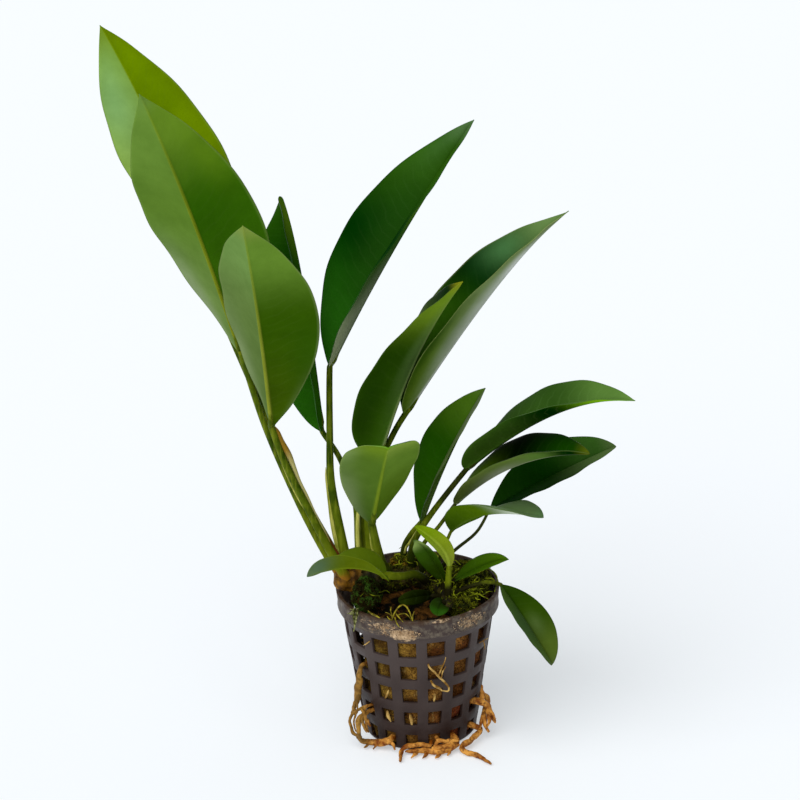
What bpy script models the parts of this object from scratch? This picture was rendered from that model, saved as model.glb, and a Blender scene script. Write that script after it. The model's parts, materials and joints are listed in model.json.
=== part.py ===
"""Potted anubias: a water plant with a thick creeping rhizome, twenty stiff folded leaves on
stalks, moss and bare roots, growing out of a small round lattice basket filled with fibre.

Millimetres are used for every driving size and turned into metres where a mesh is made.
X is to the right, Y is to the back and Z is up. The origin is the middle of the basket's foot.
"""
import math

import bmesh
import bpy
from mathutils import Vector, noise
from mathutils.bvhtree import BVHTree

MM = 0.001

# Basket
POT_HEIGHT = 48.0
RIM_RADIUS = 25.0
FOOT_RADIUS = 17.3
WALL_SLOPE = 0.147
WALL = 1.0
FLOOR = 0.9
COLUMNS = 16
FIRST_COLUMN_ANGLE = -9.4
STRUT = 3.3
ROWS = 5
FIRST_ROW_HEIGHT = 3.6
ROW_PITCH = 8.35
LOWEST_HOLE = 4.6
HOLE_GROWTH = 0.2
COLLAR_FOOT = 42.0
HUB_RADIUS = 6.5
SLOT_RADIUS = 13.4

# Gaps between pieces that touch
GAP = 0.35

# Leaf blades: the neck is where the stalk ends, and the midrib runs as one smooth curve through
# neck, middle and tip. The upper face is turned about the midrib by turn degrees from facing
# the front, and by twist more at the tip. Width is across the unfolded blade, belly is where
# along the length it is widest, fullness bends the outline and fold lifts each half.
LEAVES = {
    "left_back": dict(
        neck=(-53.5, 3.0, 130.0), middle=(-66.0, -3.0, 180.0), tip=(-83.5, -12.0, 226.5),
        turn=153, twist=53, width=34.0, belly=0.49, fullness=2.0, fold=33, stations=9,
        stalk=[(-22.0, 2.0, 51.5), (-26.5, 4.0, 60.0), (-33.6, 4.5, 75.5), (-43.6, 4.0, 102.0)],
        thick=(1.4, 0.9)),
    "left_tall": dict(
        neck=(-50.0, -2.0, 125.0), middle=(-61.5, -14.0, 172.5), tip=(-72.5, -26.0, 210.5),
        turn=149, twist=54, width=38.0, belly=0.38, fullness=1.8, fold=32, stations=9,
        stalk=[(-23.0, -0.8, 52.0), (-28.8, 0.5, 62.0), (-35.9, 1.0, 78.0), (-44.2, -0.6, 102.0)],
        thick=(1.4, 0.9)),
    "left_front": dict(
        neck=(-42.0, -4.0, 102.5), middle=(-43.0, -26.0, 143.5), tip=(-45.0, -44.0, 178.0),
        turn=151, twist=8, width=34.0, belly=0.50, fullness=2.1, fold=26, stations=9,
        stalk=[(-21.5, -4.0, 52.5), (-27.0, -3.4, 63.5), (-33.0, -2.7, 77.0), (-38.7, -3.2, 91.0)],
        thick=(1.4, 1.0)),
    "dark_left": dict(
        neck=(-27.6, 6.5, 97.0), middle=(-32.3, 16.0, 141.0), tip=(-38.0, 32.0, 163.0),
        turn=-58, twist=2, width=32.0, belly=0.42, fullness=1.4, fold=34, stations=7,
        stalk=[(-17.5, 0.5, 52.5), (-17.8, 3.0, 62.0), (-18.4, 5.0, 75.0), (-22.6, 6.5, 88.0)],
        thick=(1.2, 0.8)),
    "dark_tall": dict(
        neck=(-24.5, 4.0, 118.5), middle=(-4.9, 10.0, 152.5), tip=(20.0, 24.0, 187.5),
        turn=-79, twist=20, width=35.2, belly=0.45, fullness=1.7, fold=34, stations=9,
        stalk=[(-21.0, -0.5, 53.5), (-22.8, 0.6, 64.5), (-25.3, 2.4, 82.0), (-25.2, 3.2, 98.0)],
        thick=(1.5, 0.9)),
    "dark_right": dict(
        neck=(-2.5, 4.0, 102.8), middle=(26.2, 12.0, 140.8), tip=(47.6, 20.0, 160.0),
        turn=-92, twist=20, width=33.0, belly=0.29, fullness=2.1, fold=35, stations=8,
        stalk=[(-14.0, 2.5, 51.5), (-16.2, 6.0, 66.0), (-13.2, 6.5, 80.5), (-6.5, 5.0, 95.5)],
        thick=(1.3, 0.9)),
    "olive_middle": dict(
        neck=(-10.7, 1.0, 90.0), middle=(1.4, -2.5, 123.8), tip=(15.0, -8.0, 148.3),
        turn=-122, twist=25, width=32.0, belly=0.34, fullness=1.5, fold=30, stations=7,
        stalk=[(-13.3, 0.0, 52.0), (-14.6, 2.2, 64.0), (-14.4, 2.2, 78.0)],
        thick=(1.3, 0.9)),
    "front_heart": dict(
        neck=(-13.3, -8.0, 72.5), middle=(-9.3, -26.0, 98.2), tip=(-7.6, -34.0, 107.8),
        turn=200, twist=-5, width=25.0, belly=0.48, fullness=1.6, fold=18, stations=8,
        stalk=[(-8.5, -3.2, 52.5), (-11.0, -6.4, 60.0)],
        thick=(1.6, 1.2)),
    "middle_right": dict(
        neck=(1.6, 0.0, 69.0), middle=(10.9, 2.0, 91.0), tip=(21.7, 6.0, 109.8),
        turn=-79, twist=13, width=22.8, belly=0.45, fullness=1.7, fold=29, stations=7,
        stalk=[(-4.0, 4.6, 52.0), (-3.8, 3.4, 59.0), (-1.6, 1.2, 64.6)],
        thick=(1.1, 0.8)),
    "arching_right": dict(
        neck=(15.3, -2.0, 86.8), middle=(41.4, -8.0, 106.7), tip=(64.5, -14.0, 112.4),
        turn=-116, twist=38, width=25.5, belly=0.34, fullness=1.6, fold=28, stations=8,
        stalk=[(-1.6, 0.8, 53.0), (-1.2, -1.8, 62.2), (4.3, -2.6, 72.4)],
        thick=(1.1, 0.8)),
    "low_right": dict(
        neck=(11.8, -6.0, 77.4), middle=(30.1, -12.5, 92.6), tip=(51.0, -18.0, 97.7),
        turn=-106, twist=11, width=25.0, belly=0.48, fullness=1.5, fold=24, stations=7,
        stalk=[(1.6, -1.6, 52.5), (1.4, -4.8, 62.6), (6.8, -5.4, 70.0)],
        thick=(0.8, 0.55)),
    "far_right": dict(
        neck=(22.4, 5.0, 70.1), middle=(40.2, 9.0, 78.3), tip=(61.6, 12.0, 87.2),
        turn=-74, twist=-5, width=23.2, belly=0.58, fullness=1.7, fold=23, stations=7,
        stalk=[(6.0, 0.2, 50.5), (10.2, 2.0, 57.0), (18.3, 4.2, 63.2)],
        thick=(0.6, 0.45)),
    "curled_right": dict(
        neck=(10.3, -8.0, 69.3), middle=(20.8, -15.0, 78.1), tip=(37.3, -21.0, 79.1),
        turn=-149, twist=55, width=27.4, belly=0.59, fullness=1.8, fold=11, stations=9,
        stalk=[(4.4, -4.6, 51.5), (7.2, -7.0, 61.0)],
        thick=(0.65, 0.5)),
    "new_bright": dict(
        neck=(9.4, -14.0, 60.2), middle=(7.2, -17.5, 68.7), tip=(-0.6, -21.0, 77.4),
        turn=173, twist=5, width=6.5, belly=0.50, fullness=1.4, fold=34, stations=5,
        stalk=[(8.8, -13.8, 50.2)],
        thick=(0.9, 0.8)),
    "new_dark": dict(
        neck=(8.0, -9.4, 53.5), middle=(2.9, -9.8, 64.5), tip=(-1.0, -11.0, 68.0),
        turn=-26, twist=-12, width=8.5, belly=0.43, fullness=1.5, fold=26, stations=5,
        stalk=[(7.6, -9.6, 49.6)],
        thick=(0.9, 0.8)),
    "low_left": dict(
        neck=(-9.4, -16.0, 59.2), middle=(-20.0, -22.5, 65.5), tip=(-32.6, -25.0, 63.8),
        turn=74, twist=75, width=17.3, belly=0.42, fullness=1.3, fold=21, stations=8,
        stalk=[(2.2, -7.2, 53.0), (-0.6, -11.0, 57.0), (-4.6, -14.2, 58.0)],
        thick=(1.2, 1.2)),
    "rim_right": dict(
        neck=(11.2, -8.0, 53.0), middle=(20.7, -8.0, 58.2), tip=(27.6, -8.0, 59.6),
        turn=-60, twist=3, width=6.5, belly=0.44, fullness=1.7, fold=31, stations=5,
        stalk=[(9.0, -6.6, 49.8)],
        thick=(0.9, 0.8)),
    "hanging_right": dict(
        neck=(24.8, -13.5, 54.0), middle=(32.0, -20.0, 44.6), tip=(39.6, -22.5, 31.2),
        turn=-39, twist=-19, width=14.2, belly=0.58, fullness=1.5, fold=34, stations=7,
        stalk=[(9.6, -11.0, 49.6), (14.6, -12.6, 52.8), (20.4, -13.3, 54.8)],
        thick=(0.65, 0.6)),
    "small_front": dict(
        neck=(4.2, -14.4, 51.4), middle=(-1.0, -16.2, 52.0), tip=(-6.0, -17.8, 51.4),
        turn=10, twist=0, width=4.8, belly=0.50, fullness=1.0, fold=15, stations=4,
        stalk=[(7.6, -12.6, 49.8)],
        thick=(0.8, 0.7)),
    "rim_bud": dict(
        neck=(6.9, -18.2, 51.1), middle=(6.2, -20.6, 50.6), tip=(5.6, -22.6, 48.6),
        turn=10, twist=0, width=6.0, belly=0.55, fullness=1.2, fold=15, stations=4,
        stalk=[(8.3, -16.6, 49.2)],
        thick=(0.8, 0.7)),
}

BLADE_AT_MIDRIB = 0.9
BLADE_AT_MARGIN = 0.5
TIP_HALF_WIDTH = 0.35

# Rhizome: the thick creeping stem, in three lengths between its forks, as (point, radius)
RHIZOME = {
    "rhizome_left": [((-25.2, -2.4, 52.4), 2.2), ((-22.5, -2.2, 51.8), 3.3),
                     ((-16.5, -1.0, 50.6), 3.9), ((-8.2, -0.8, 50.4), 3.8)],
    "rhizome_right": [((-7.6, -0.8, 50.4), 3.8), ((-2.0, 1.2, 50.8), 3.8),
                      ((3.0, -0.6, 50.6), 3.5), ((7.4, -2.2, 49.8), 2.6)],
    "rhizome_front": [((5.4, -4.6, 49.6), 2.2), ((8.4, -8.4, 49.4), 2.7),
                      ((8.6, -17.6, 48.8), 1.7)],
}

# Bare roots, as (radius, route, side fingers); each starts in the fibre behind a hole of the
# basket, and its fingers are (radius, start, end)
ROOTS = {
    "root_left_strand": (0.8, [(-15.6, -11.2, 27.8), (-18.0, -12.9, 27.6), (-19.0, -12.9, 24.4),
                               (-19.3, -12.9, 21.0), (-19.8, -12.6, 16.8), (-20.6, -12.1, 12.6),
                               (-21.2, -11.6, 10.8)], []),
    "root_left_loop": (0.5, [(-13.6, -9.8, 13.0), (-17.2, -12.8, 13.2), (-19.2, -14.2, 13.0),
                             (-21.2, -14.3, 11.2), (-21.8, -14.4, 8.6), (-21.0, -14.6, 5.6),
                             (-19.2, -15.4, 4.0)], []),
    "root_left_knot": (0.75, [(-13.4, -9.6, 11.0), (-16.8, -12.8, 11.2), (-18.8, -15.4, 10.8),
                              (-19.4, -16.2, 7.6), (-18.6, -16.6, 4.4)], []),
    "root_foot_left": (1.05, [(-8.0, -12.9, 3.8), (-9.9, -16.6, 3.5), (-12.5, -15.2, 2.3),
                              (-15.4, -13.6, 1.75), (-18.8, -13.0, 1.8)],
                       [(0.5, (-13.8, -14.4, 1.9), (-14.9, -16.4, 1.0))]),
    "root_front_left": (0.7, [(2.8, -14.6, 3.1), (2.8, -18.6, 3.0), (0.1, -19.0, 3.2),
                              (-3.3, -18.9, 3.0), (-5.7, -19.0, 2.2), (-6.4, -20.6, 1.3),
                              (-6.7, -24.5, 0.8)], []),
    "root_front_middle": (1.05, [(7.6, -11.7, 3.6), (10.4, -16.2, 3.4), (9.6, -18.6, 2.1),
                                 (7.4, -19.7, 1.45), (4.4, -20.2, 1.35), (0.6, -19.7, 1.35),
                                 (-3.9, -19.3, 1.3)],
                          [(0.5, (-1.5, -19.6, 1.2), (-3.2, -22.6, 0.8)),
                           (0.5, (1.9, -19.8, 1.2), (0.3, -23.0, 0.8)),
                           (0.6, (5.4, -20.2, 1.3), (4.2, -23.4, 0.9)),
                           (0.5, (8.2, -19.4, 1.5), (7.8, -21.9, 0.9))]),
    "root_front_right": (0.7, [(4.5, -14.6, 4.5), (4.9, -19.0, 4.5), (7.2, -19.5, 4.2),
                               (9.2, -19.4, 3.7)], []),
    "root_right": (0.9, [(12.8, -7.9, 4.0), (16.8, -10.4, 4.2), (18.0, -11.6, 3.5),
                         (14.8, -16.0, 2.4), (12.3, -18.5, 2.0), (12.6, -20.4, 1.3),
                         (16.6, -22.4, 1.1), (20.8, -27.5, 0.85)], []),
    "root_right_curl": (1.05, [(14.0, -8.7, 12.4), (18.7, -9.9, 12.4), (20.4, -9.2, 10.4),
                               (22.4, -9.5, 5.8)],
                        [(0.8, (20.4, -9.4, 10.2), (22.4, -10.9, 7.6))]),
    "root_right_knot": (0.9, [(16.4, -2.7, 11.6), (20.6, -4.2, 10.8), (19.6, -7.8, 8.0),
                              (19.2, -10.8, 6.0), (20.8, -12.2, 3.2)], []),
    "root_over_rim": (1.1, [(-4.4, -17.6, 47.4), (-4.6, -22.4, 50.0), (-5.2, -25.6, 49.6),
                            (-6.0, -26.8, 46.6)], []),
}

# Moss cushions, as centre and half sizes of each lumpy mound
MOSS = {
    "moss_right": ((16.0, 1.0, 48.6), (7.0, 11.0, 6.0)),
    "moss_left": ((-15.6, -9.5, 50.0), (4.4, 5.6, 5.8)),
    "moss_front_right": ((13.0, -12.0, 46.4), (4.8, 5.2, 3.2)),
}

PLUG_TOP = 44.6
PLUG_LEFT = -16.6


def clean_scene():
    for item in list(bpy.data.objects):
        bpy.data.objects.remove(item, do_unlink=True)


def material(name, colour, roughness, metallic=0.0):
    made = bpy.data.materials.get(name)
    if made is None:
        made = bpy.data.materials.new(name)
        made.use_nodes = True
        shader = made.node_tree.nodes["Principled BSDF"]
        shader.inputs["Base Color"].default_value = (*colour, 1.0)
        shader.inputs["Roughness"].default_value = roughness
        shader.inputs["Metallic"].default_value = metallic
    return made


def add_object(name, points, faces, finish, sharp=40.0):
    """Make one closed object from points in millimetres."""
    mesh = bpy.data.meshes.new(name)
    mesh.from_pydata([tuple(Vector(p) * MM) for p in points], [], faces)
    mesh.validate()
    body = bmesh.new()
    body.from_mesh(mesh)
    bmesh.ops.recalc_face_normals(body, faces=body.faces)
    body.to_mesh(mesh)
    body.free()
    mesh.materials.append(finish)
    mesh.shade_smooth()
    mesh.set_sharp_from_angle(angle=math.radians(sharp))
    made = bpy.data.objects.new(name, mesh)
    bpy.context.collection.objects.link(made)
    return made


def smooth_route(points, spacing):
    """Points about spacing apart along a smooth curve through the given points."""
    knots = [Vector(p) for p in points]
    ends = [2 * knots[0] - knots[1]] + knots + [2 * knots[-1] - knots[-2]]
    route = [knots[0]]
    for before, start, stop, after in zip(ends, ends[1:], ends[2:], ends[3:]):
        steps = max(1, round((stop - start).length / spacing))
        for step in range(1, steps + 1):
            t = step / steps
            pull = 0.5 * ((2 * start) + (stop - before) * t
                          + (2 * before - 5 * start + 4 * stop - after) * t ** 2
                          + (3 * start - before - 3 * stop + after) * t ** 3)
            route.append(pull)
    return route


def tube(name, route, radii, sides, finish):
    """A round rod along the route, with a radius for each of its points and flat ends."""
    points = []
    faces = []
    tangent = (route[1] - route[0]).normalized()
    across = tangent.orthogonal().normalized()
    for index, centre in enumerate(route):
        ahead = route[min(index + 1, len(route) - 1)]
        behind = route[max(index - 1, 0)]
        turned = (ahead - behind).normalized()
        across = (across - turned * across.dot(turned)).normalized()
        other = turned.cross(across)
        for side in range(sides):
            angle = 2 * math.pi * side / sides
            points.append(centre + radii[index] * (math.cos(angle) * across
                                                   + math.sin(angle) * other))
    for ring in range(len(route) - 1):
        for side in range(sides):
            near = (side + 1) % sides
            faces.append((ring * sides + side, ring * sides + near,
                          (ring + 1) * sides + near, (ring + 1) * sides + side))
    faces.append(tuple(reversed(range(sides))))
    last = (len(route) - 1) * sides
    faces.append(tuple(range(last, last + sides)))
    return add_object(name, points, faces, finish)


def wall_radius(height):
    return FOOT_RADIUS + WALL_SLOPE * height


def pot_profile():
    """Outer and inner profile of the basket, and which of its bands hold openings."""
    outer = [(HUB_RADIUS, 0.0), (SLOT_RADIUS, 0.0), (FOOT_RADIUS - 0.7, 0.0)]
    inner = [(HUB_RADIUS, FLOOR), (SLOT_RADIUS, FLOOR), (FOOT_RADIUS - WALL - 0.3, FLOOR)]
    bands = ["slots", "solid"]
    outer.append((wall_radius(0.7), 0.7))
    inner.append((FOOT_RADIUS - WALL, FLOOR + 0.1))
    bands.append("solid")
    for row in range(ROWS):
        middle = FIRST_ROW_HEIGHT + ROW_PITCH * row
        half = (LOWEST_HOLE + HOLE_GROWTH * row) / 2
        for height in (middle - half, middle + half):
            outer.append((wall_radius(height), height))
            inner.append((wall_radius(height) - WALL, height))
        bands += ["solid", "holes"]
    outer += [(RIM_RADIUS - 0.2, COLLAR_FOOT), (RIM_RADIUS, POT_HEIGHT - 0.4),
              (RIM_RADIUS - 0.4, POT_HEIGHT)]
    inner += [(RIM_RADIUS - 0.2 - WALL, COLLAR_FOOT), (RIM_RADIUS - WALL, POT_HEIGHT - 0.4),
              (RIM_RADIUS - WALL + 0.4, POT_HEIGHT)]
    bands += ["solid", "solid", "solid"]
    return outer, inner, bands


def net_pot(finish):
    """The lattice basket, moulded in one piece: foot with slots, square holes, plain collar."""
    outer, inner, bands = pot_profile()
    pitch = 360.0 / COLUMNS
    count = 2 * COLUMNS
    levels = len(outer)
    points = []
    for profile in (outer, inner):
        for radius, height in profile:
            half_hole = (pitch - math.degrees(STRUT / wall_radius(height))) / 2
            for column in range(COLUMNS):
                centre = FIRST_COLUMN_ANGLE + pitch * column
                for angle in (centre - half_hole, centre + half_hole):
                    turn = math.radians(angle)
                    points.append((radius * math.sin(turn), -radius * math.cos(turn), height))

    def corner(shell, level, step):
        return (shell * levels + level) * count + step % count

    def is_open(level, step):
        if level < 0 or level >= len(bands):
            return False
        if bands[level] == "holes":
            return step % 2 == 0
        if bands[level] == "slots":
            return step % 4 != 3
        return False

    faces = []
    for level in range(levels - 1):
        for step in range(count):
            if not is_open(level, step):
                for shell in (0, 1):
                    faces.append((corner(shell, level, step), corner(shell, level, step + 1),
                                  corner(shell, level + 1, step + 1), corner(shell, level + 1, step)))
                continue
            sides = [((level, step), (level, step + 1), is_open(level - 1, step)),
                     ((level + 1, step), (level + 1, step + 1), is_open(level + 1, step)),
                     ((level, step), (level + 1, step), is_open(level, (step - 1) % count)),
                     ((level, step + 1), (level + 1, step + 1), is_open(level, (step + 1) % count))]
            for start, stop, next_open in sides:
                if not next_open:
                    faces.append((corner(0, *start), corner(0, *stop),
                                  corner(1, *stop), corner(1, *start)))
    for step in range(count):
        top = levels - 1
        faces.append((corner(0, top, step), corner(0, top, step + 1),
                      corner(1, top, step + 1), corner(1, top, step)))
    faces.append(tuple(corner(0, 0, step) for step in range(count)))
    faces.append(tuple(corner(1, 0, step) for step in reversed(range(count))))
    return add_object("net_pot", points, faces, finish, sharp=30.0)


def plug(finish):
    """The fibre plug that fills the basket, thin on its left side, with an uneven top."""
    sides = 20
    heights = [FLOOR + 0.4, 9.0, 18.0, 27.0, 36.0, 42.0]
    points = []
    for height in heights:
        for side in range(sides):
            turn = 2 * math.pi * side / sides
            radius = min(wall_radius(height) - WALL - 0.5, RIM_RADIUS - WALL - 2.0)
            x = radius * math.sin(turn)
            y = -radius * math.cos(turn)
            points.append((max(x, PLUG_LEFT), y, height))
    for share in (0.82, 0.45):
        for side in range(sides):
            turn = 2 * math.pi * side / sides
            radius = share * (RIM_RADIUS - WALL - 2.0)
            x = max(radius * math.sin(turn), PLUG_LEFT)
            y = -radius * math.cos(turn)
            bump = noise.noise(Vector((x, y, 0)) * 0.12)
            points.append((x, y, PLUG_TOP + bump))
    rings = len(heights) + 2
    faces = []
    for ring in range(rings - 1):
        for side in range(sides):
            near = (side + 1) % sides
            faces.append((ring * sides + side, ring * sides + near,
                          (ring + 1) * sides + near, (ring + 1) * sides + side))
    faces.append(tuple(reversed(range(sides))))
    faces.append(tuple(range((rings - 1) * sides, rings * sides)))
    return add_object("growing_plug", points, faces, finish, sharp=60.0)


def mound(name, centre, half_sizes, finish):
    """A lumpy cushion of moss."""
    body = bmesh.new()
    bmesh.ops.create_icosphere(body, subdivisions=2, radius=1.0)
    middle = Vector(centre)
    points = []
    for vertex in body.verts:
        lump = 1.0 + 0.16 * noise.noise(vertex.co * 2.2 + middle)
        points.append([middle[k] + vertex.co[k] * half_sizes[k] * lump for k in range(3)])
    body.verts.index_update()
    faces = [tuple(vertex.index for vertex in face.verts) for face in body.faces]
    body.free()
    return add_object(name, points, faces, finish, sharp=80.0)


def midrib_point(leaf, s):
    neck, middle, tip = (Vector(leaf[key]) for key in ("neck", "middle", "tip"))
    return (2 * (s - 0.5) * (s - 1)) * neck + (4 * s * (1 - s)) * middle + (2 * s * (s - 0.5)) * tip


def midrib_frame(leaf, s):
    """Place, direction, upper side and sideways direction of the blade at share s of its length."""
    neck, middle, tip = (Vector(leaf[key]) for key in ("neck", "middle", "tip"))
    along = ((4 * s - 3) * neck + (4 - 8 * s) * middle + (4 * s - 1) * tip).normalized()
    front = Vector((0.0, -1.0, 0.0))
    facing = (front - along * front.dot(along)).normalized()
    beside = along.cross(facing)
    turn = math.radians(leaf["turn"] + leaf["twist"] * s)
    upper = facing * math.cos(turn) + beside * math.sin(turn)
    return midrib_point(leaf, s), along, upper, along.cross(upper)


def outline_share(leaf, s):
    """Share of the full width at s: zero at both ends and one at the belly."""
    rise = leaf["belly"] * leaf["fullness"]
    fall = (1 - leaf["belly"]) * leaf["fullness"]
    peak = leaf["belly"] ** rise * (1 - leaf["belly"]) ** fall
    return s ** rise * (1 - s) ** fall / peak


def blade(name, leaf, finish):
    """A stiff leaf blade: two flat halves folded up from a thicker midrib, closed all round."""
    stations = leaf["stations"]
    shares = (-1.0, -0.5, 0.0, 0.5, 1.0)
    fold = math.radians(leaf["fold"])
    neck_half_width = 0.9 * leaf["thick"][1]
    upper_points = []
    lower_points = []
    for index in range(stations + 1):
        s = 0.5 - 0.5 * math.cos(math.pi * index / stations)
        centre, along, upper, beside = midrib_frame(leaf, s)
        least = neck_half_width * (1 - s) + TIP_HALF_WIDTH * s
        half = max(leaf["width"] / 2 * outline_share(leaf, s), least)
        for share in shares:
            side = math.copysign(1.0, share)
            reach = abs(share) * half
            place = centre + beside * side * reach * math.cos(fold) + upper * reach * math.sin(fold)
            if share == 0.0:
                normal = upper
                thickness = BLADE_AT_MIDRIB * (1.4 - 0.6 * s)
                lift = 0.3
            else:
                normal = upper * math.cos(fold) - beside * side * math.sin(fold)
                thickness = BLADE_AT_MARGIN + (BLADE_AT_MIDRIB - BLADE_AT_MARGIN) * 0.4 * (1 - abs(share))
                lift = 0.5
            upper_points.append(place + normal * thickness * lift)
            lower_points.append(place - normal * thickness * (1 - lift))
    width = len(shares)
    count = len(upper_points)
    faces = []
    for row in range(stations):
        for column in range(width - 1):
            a = row * width + column
            b = a + 1
            c = a + width + 1
            d = a + width
            faces.append((a, b, c, d))
            faces.append((count + d, count + c, count + b, count + a))
        left = row * width
        right = row * width + width - 1
        faces.append((left, left + width, count + left + width, count + left))
        faces.append((right + width, right, count + right, count + right + width))
    first = list(range(width))
    last = [stations * width + column for column in range(width)]
    for column in range(width - 1):
        faces.append((first[column + 1], first[column], count + first[column], count + first[column + 1]))
        faces.append((last[column], last[column + 1], count + last[column + 1], count + last[column]))
    return add_object(name, upper_points + lower_points, faces, finish, sharp=50.0)


def stalk(name, leaf, finish):
    """The leaf stalk, from its foot in the rhizome to just short of the blade's neck."""
    neck = Vector(leaf["neck"])
    along = midrib_frame(leaf, 0.0)[1]
    knots = [Vector(p) for p in leaf["stalk"]]
    approach = ((neck - knots[-1]).normalized() + along * 0.5).normalized()
    end = neck - approach * (GAP + 0.35)
    route = smooth_route(knots + [end], 7.0 if (end - knots[0]).length > 30 else 3.5)
    foot_radius, neck_radius = leaf["thick"]
    last = len(route) - 1
    radii = [foot_radius + (neck_radius - foot_radius) * (index / last) for index in range(last + 1)]
    return tube(name, route, radii, 6, finish)


def grown(made, gap):
    """A copy of an object's mesh, in metres, swollen by gap millimetres."""
    body = bmesh.new()
    body.from_mesh(made.data)
    body.normal_update()
    for vertex in body.verts:
        vertex.co += vertex.normal * gap * MM * 1.25
    mesh = bpy.data.meshes.new(made.name + "_clearance")
    body.to_mesh(mesh)
    body.free()
    return mesh


def tree_of(made):
    body = bmesh.new()
    body.from_mesh(made.data)
    tree = BVHTree.FromBMesh(body)
    body.free()
    return tree


def keep_largest(mesh):
    """Drop the loose crumbs that a cut leaves, keeping the one largest closed body."""
    body = bmesh.new()
    body.from_mesh(mesh)
    bmesh.ops.remove_doubles(body, verts=body.verts, dist=0.00002)
    left = set(body.faces)
    groups = []
    while left:
        seed = left.pop()
        group = {seed}
        stack = [seed]
        while stack:
            face = stack.pop()
            for edge in face.edges:
                for other in edge.link_faces:
                    if other in left:
                        left.discard(other)
                        group.add(other)
                        stack.append(other)
        groups.append(group)
    groups.sort(key=lambda group: sum(face.calc_area() for face in group), reverse=True)
    crumbs = [face for group in groups[1:] for face in group]
    bmesh.ops.delete(body, geom=crumbs, context="FACES")
    loose = [vertex for vertex in body.verts if not vertex.link_faces]
    bmesh.ops.delete(body, geom=loose, context="VERTS")
    body.to_mesh(mesh)
    body.free()


def combine(target, other, operation):
    """Join the other object to the target, or cut it away, and delete it."""
    step = target.modifiers.new("combine", "BOOLEAN")
    step.operation = operation
    step.solver = "EXACT"
    step.object = other
    bpy.context.view_layer.update()
    graph = bpy.context.evaluated_depsgraph_get()
    result = bpy.data.meshes.new_from_object(target.evaluated_get(graph))
    target.modifiers.remove(step)
    keep_largest(result)
    result.name = target.name
    target.data = result
    bpy.data.objects.remove(other, do_unlink=True)


def make_room(target, others):
    """Cut a socket in the target, with a small gap, for every other object that enters it."""
    for other in others:
        swollen = bpy.data.objects.new("clearance", grown(other, GAP))
        bpy.context.collection.objects.link(swollen)
        if tree_of(swollen).overlap(tree_of(target)):
            combine(target, swollen, "DIFFERENCE")
        else:
            bpy.data.objects.remove(swollen, do_unlink=True)


def build():
    clean_scene()
    plastic = material("basket_plastic", (0.055, 0.048, 0.045), 0.55)
    fibre = material("fibre", (0.17, 0.09, 0.025), 0.95)
    moss_green = material("moss", (0.03, 0.05, 0.008), 0.9)
    bark = material("rhizome_skin", (0.20, 0.085, 0.02), 0.6)
    root_skin = material("root_skin", (0.24, 0.10, 0.03), 0.6)
    leaf_green = material("leaf", (0.035, 0.11, 0.012), 0.35)
    stalk_green = material("stalk", (0.09, 0.16, 0.02), 0.4)

    pot = net_pot(plastic)
    core = plug(fibre)
    blades = []
    stalks = []
    for title, leaf in LEAVES.items():
        blades.append(blade("leaf_" + title, leaf, leaf_green))
        stalks.append(stalk("stalk_" + title, leaf, stalk_green))
    rhizomes = []
    for title, knots in RHIZOME.items():
        route = smooth_route([place for place, radius in knots], 3.6)
        last = len(route) - 1
        radii = []
        for index in range(last + 1):
            at = index / last * (len(knots) - 1)
            low = min(int(at), len(knots) - 2)
            radii.append(knots[low][1] + (knots[low + 1][1] - knots[low][1]) * (at - low))
        rhizomes.append(tube(title, route, radii, 8, bark))
    roots = []
    for title, (radius, knots, fingers) in ROOTS.items():
        route = smooth_route(knots, 3.4)
        last = len(route) - 1
        radii = [radius * (1.0 - 0.45 * (index / last) ** 2) for index in range(last + 1)]
        roots.append(tube(title, route, radii, 5, root_skin))
        for finger_radius, start, end in fingers:
            finger = tube("finger", [Vector(start), Vector(end)],
                          [finger_radius, 0.6 * finger_radius], 5, root_skin)
            combine(roots[-1], finger, "UNION")
    mounds = [mound(title, centre, sizes, moss_green) for title, (centre, sizes) in MOSS.items()]

    for index, rhizome in enumerate(rhizomes):
        make_room(rhizome, rhizomes[:index] + stalks)
    make_room(core, rhizomes + roots)
    for index, cushion in enumerate(mounds):
        make_room(cushion, [pot, core] + rhizomes + stalks + blades + roots + mounds[:index])


build()
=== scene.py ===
"""The looks of a potted anubias: a water plant with a creeping rhizome, folded leaves on stalks,
moss and bare roots, growing out of a round lattice basket that is filled with fibre.

Sizes are in millimetres and become metres where a mesh is made. X is to the right, Y to the back.
"""
import json
import math
import random

import bmesh
import bpy
from mathutils import Euler, Matrix, Vector, noise

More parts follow.
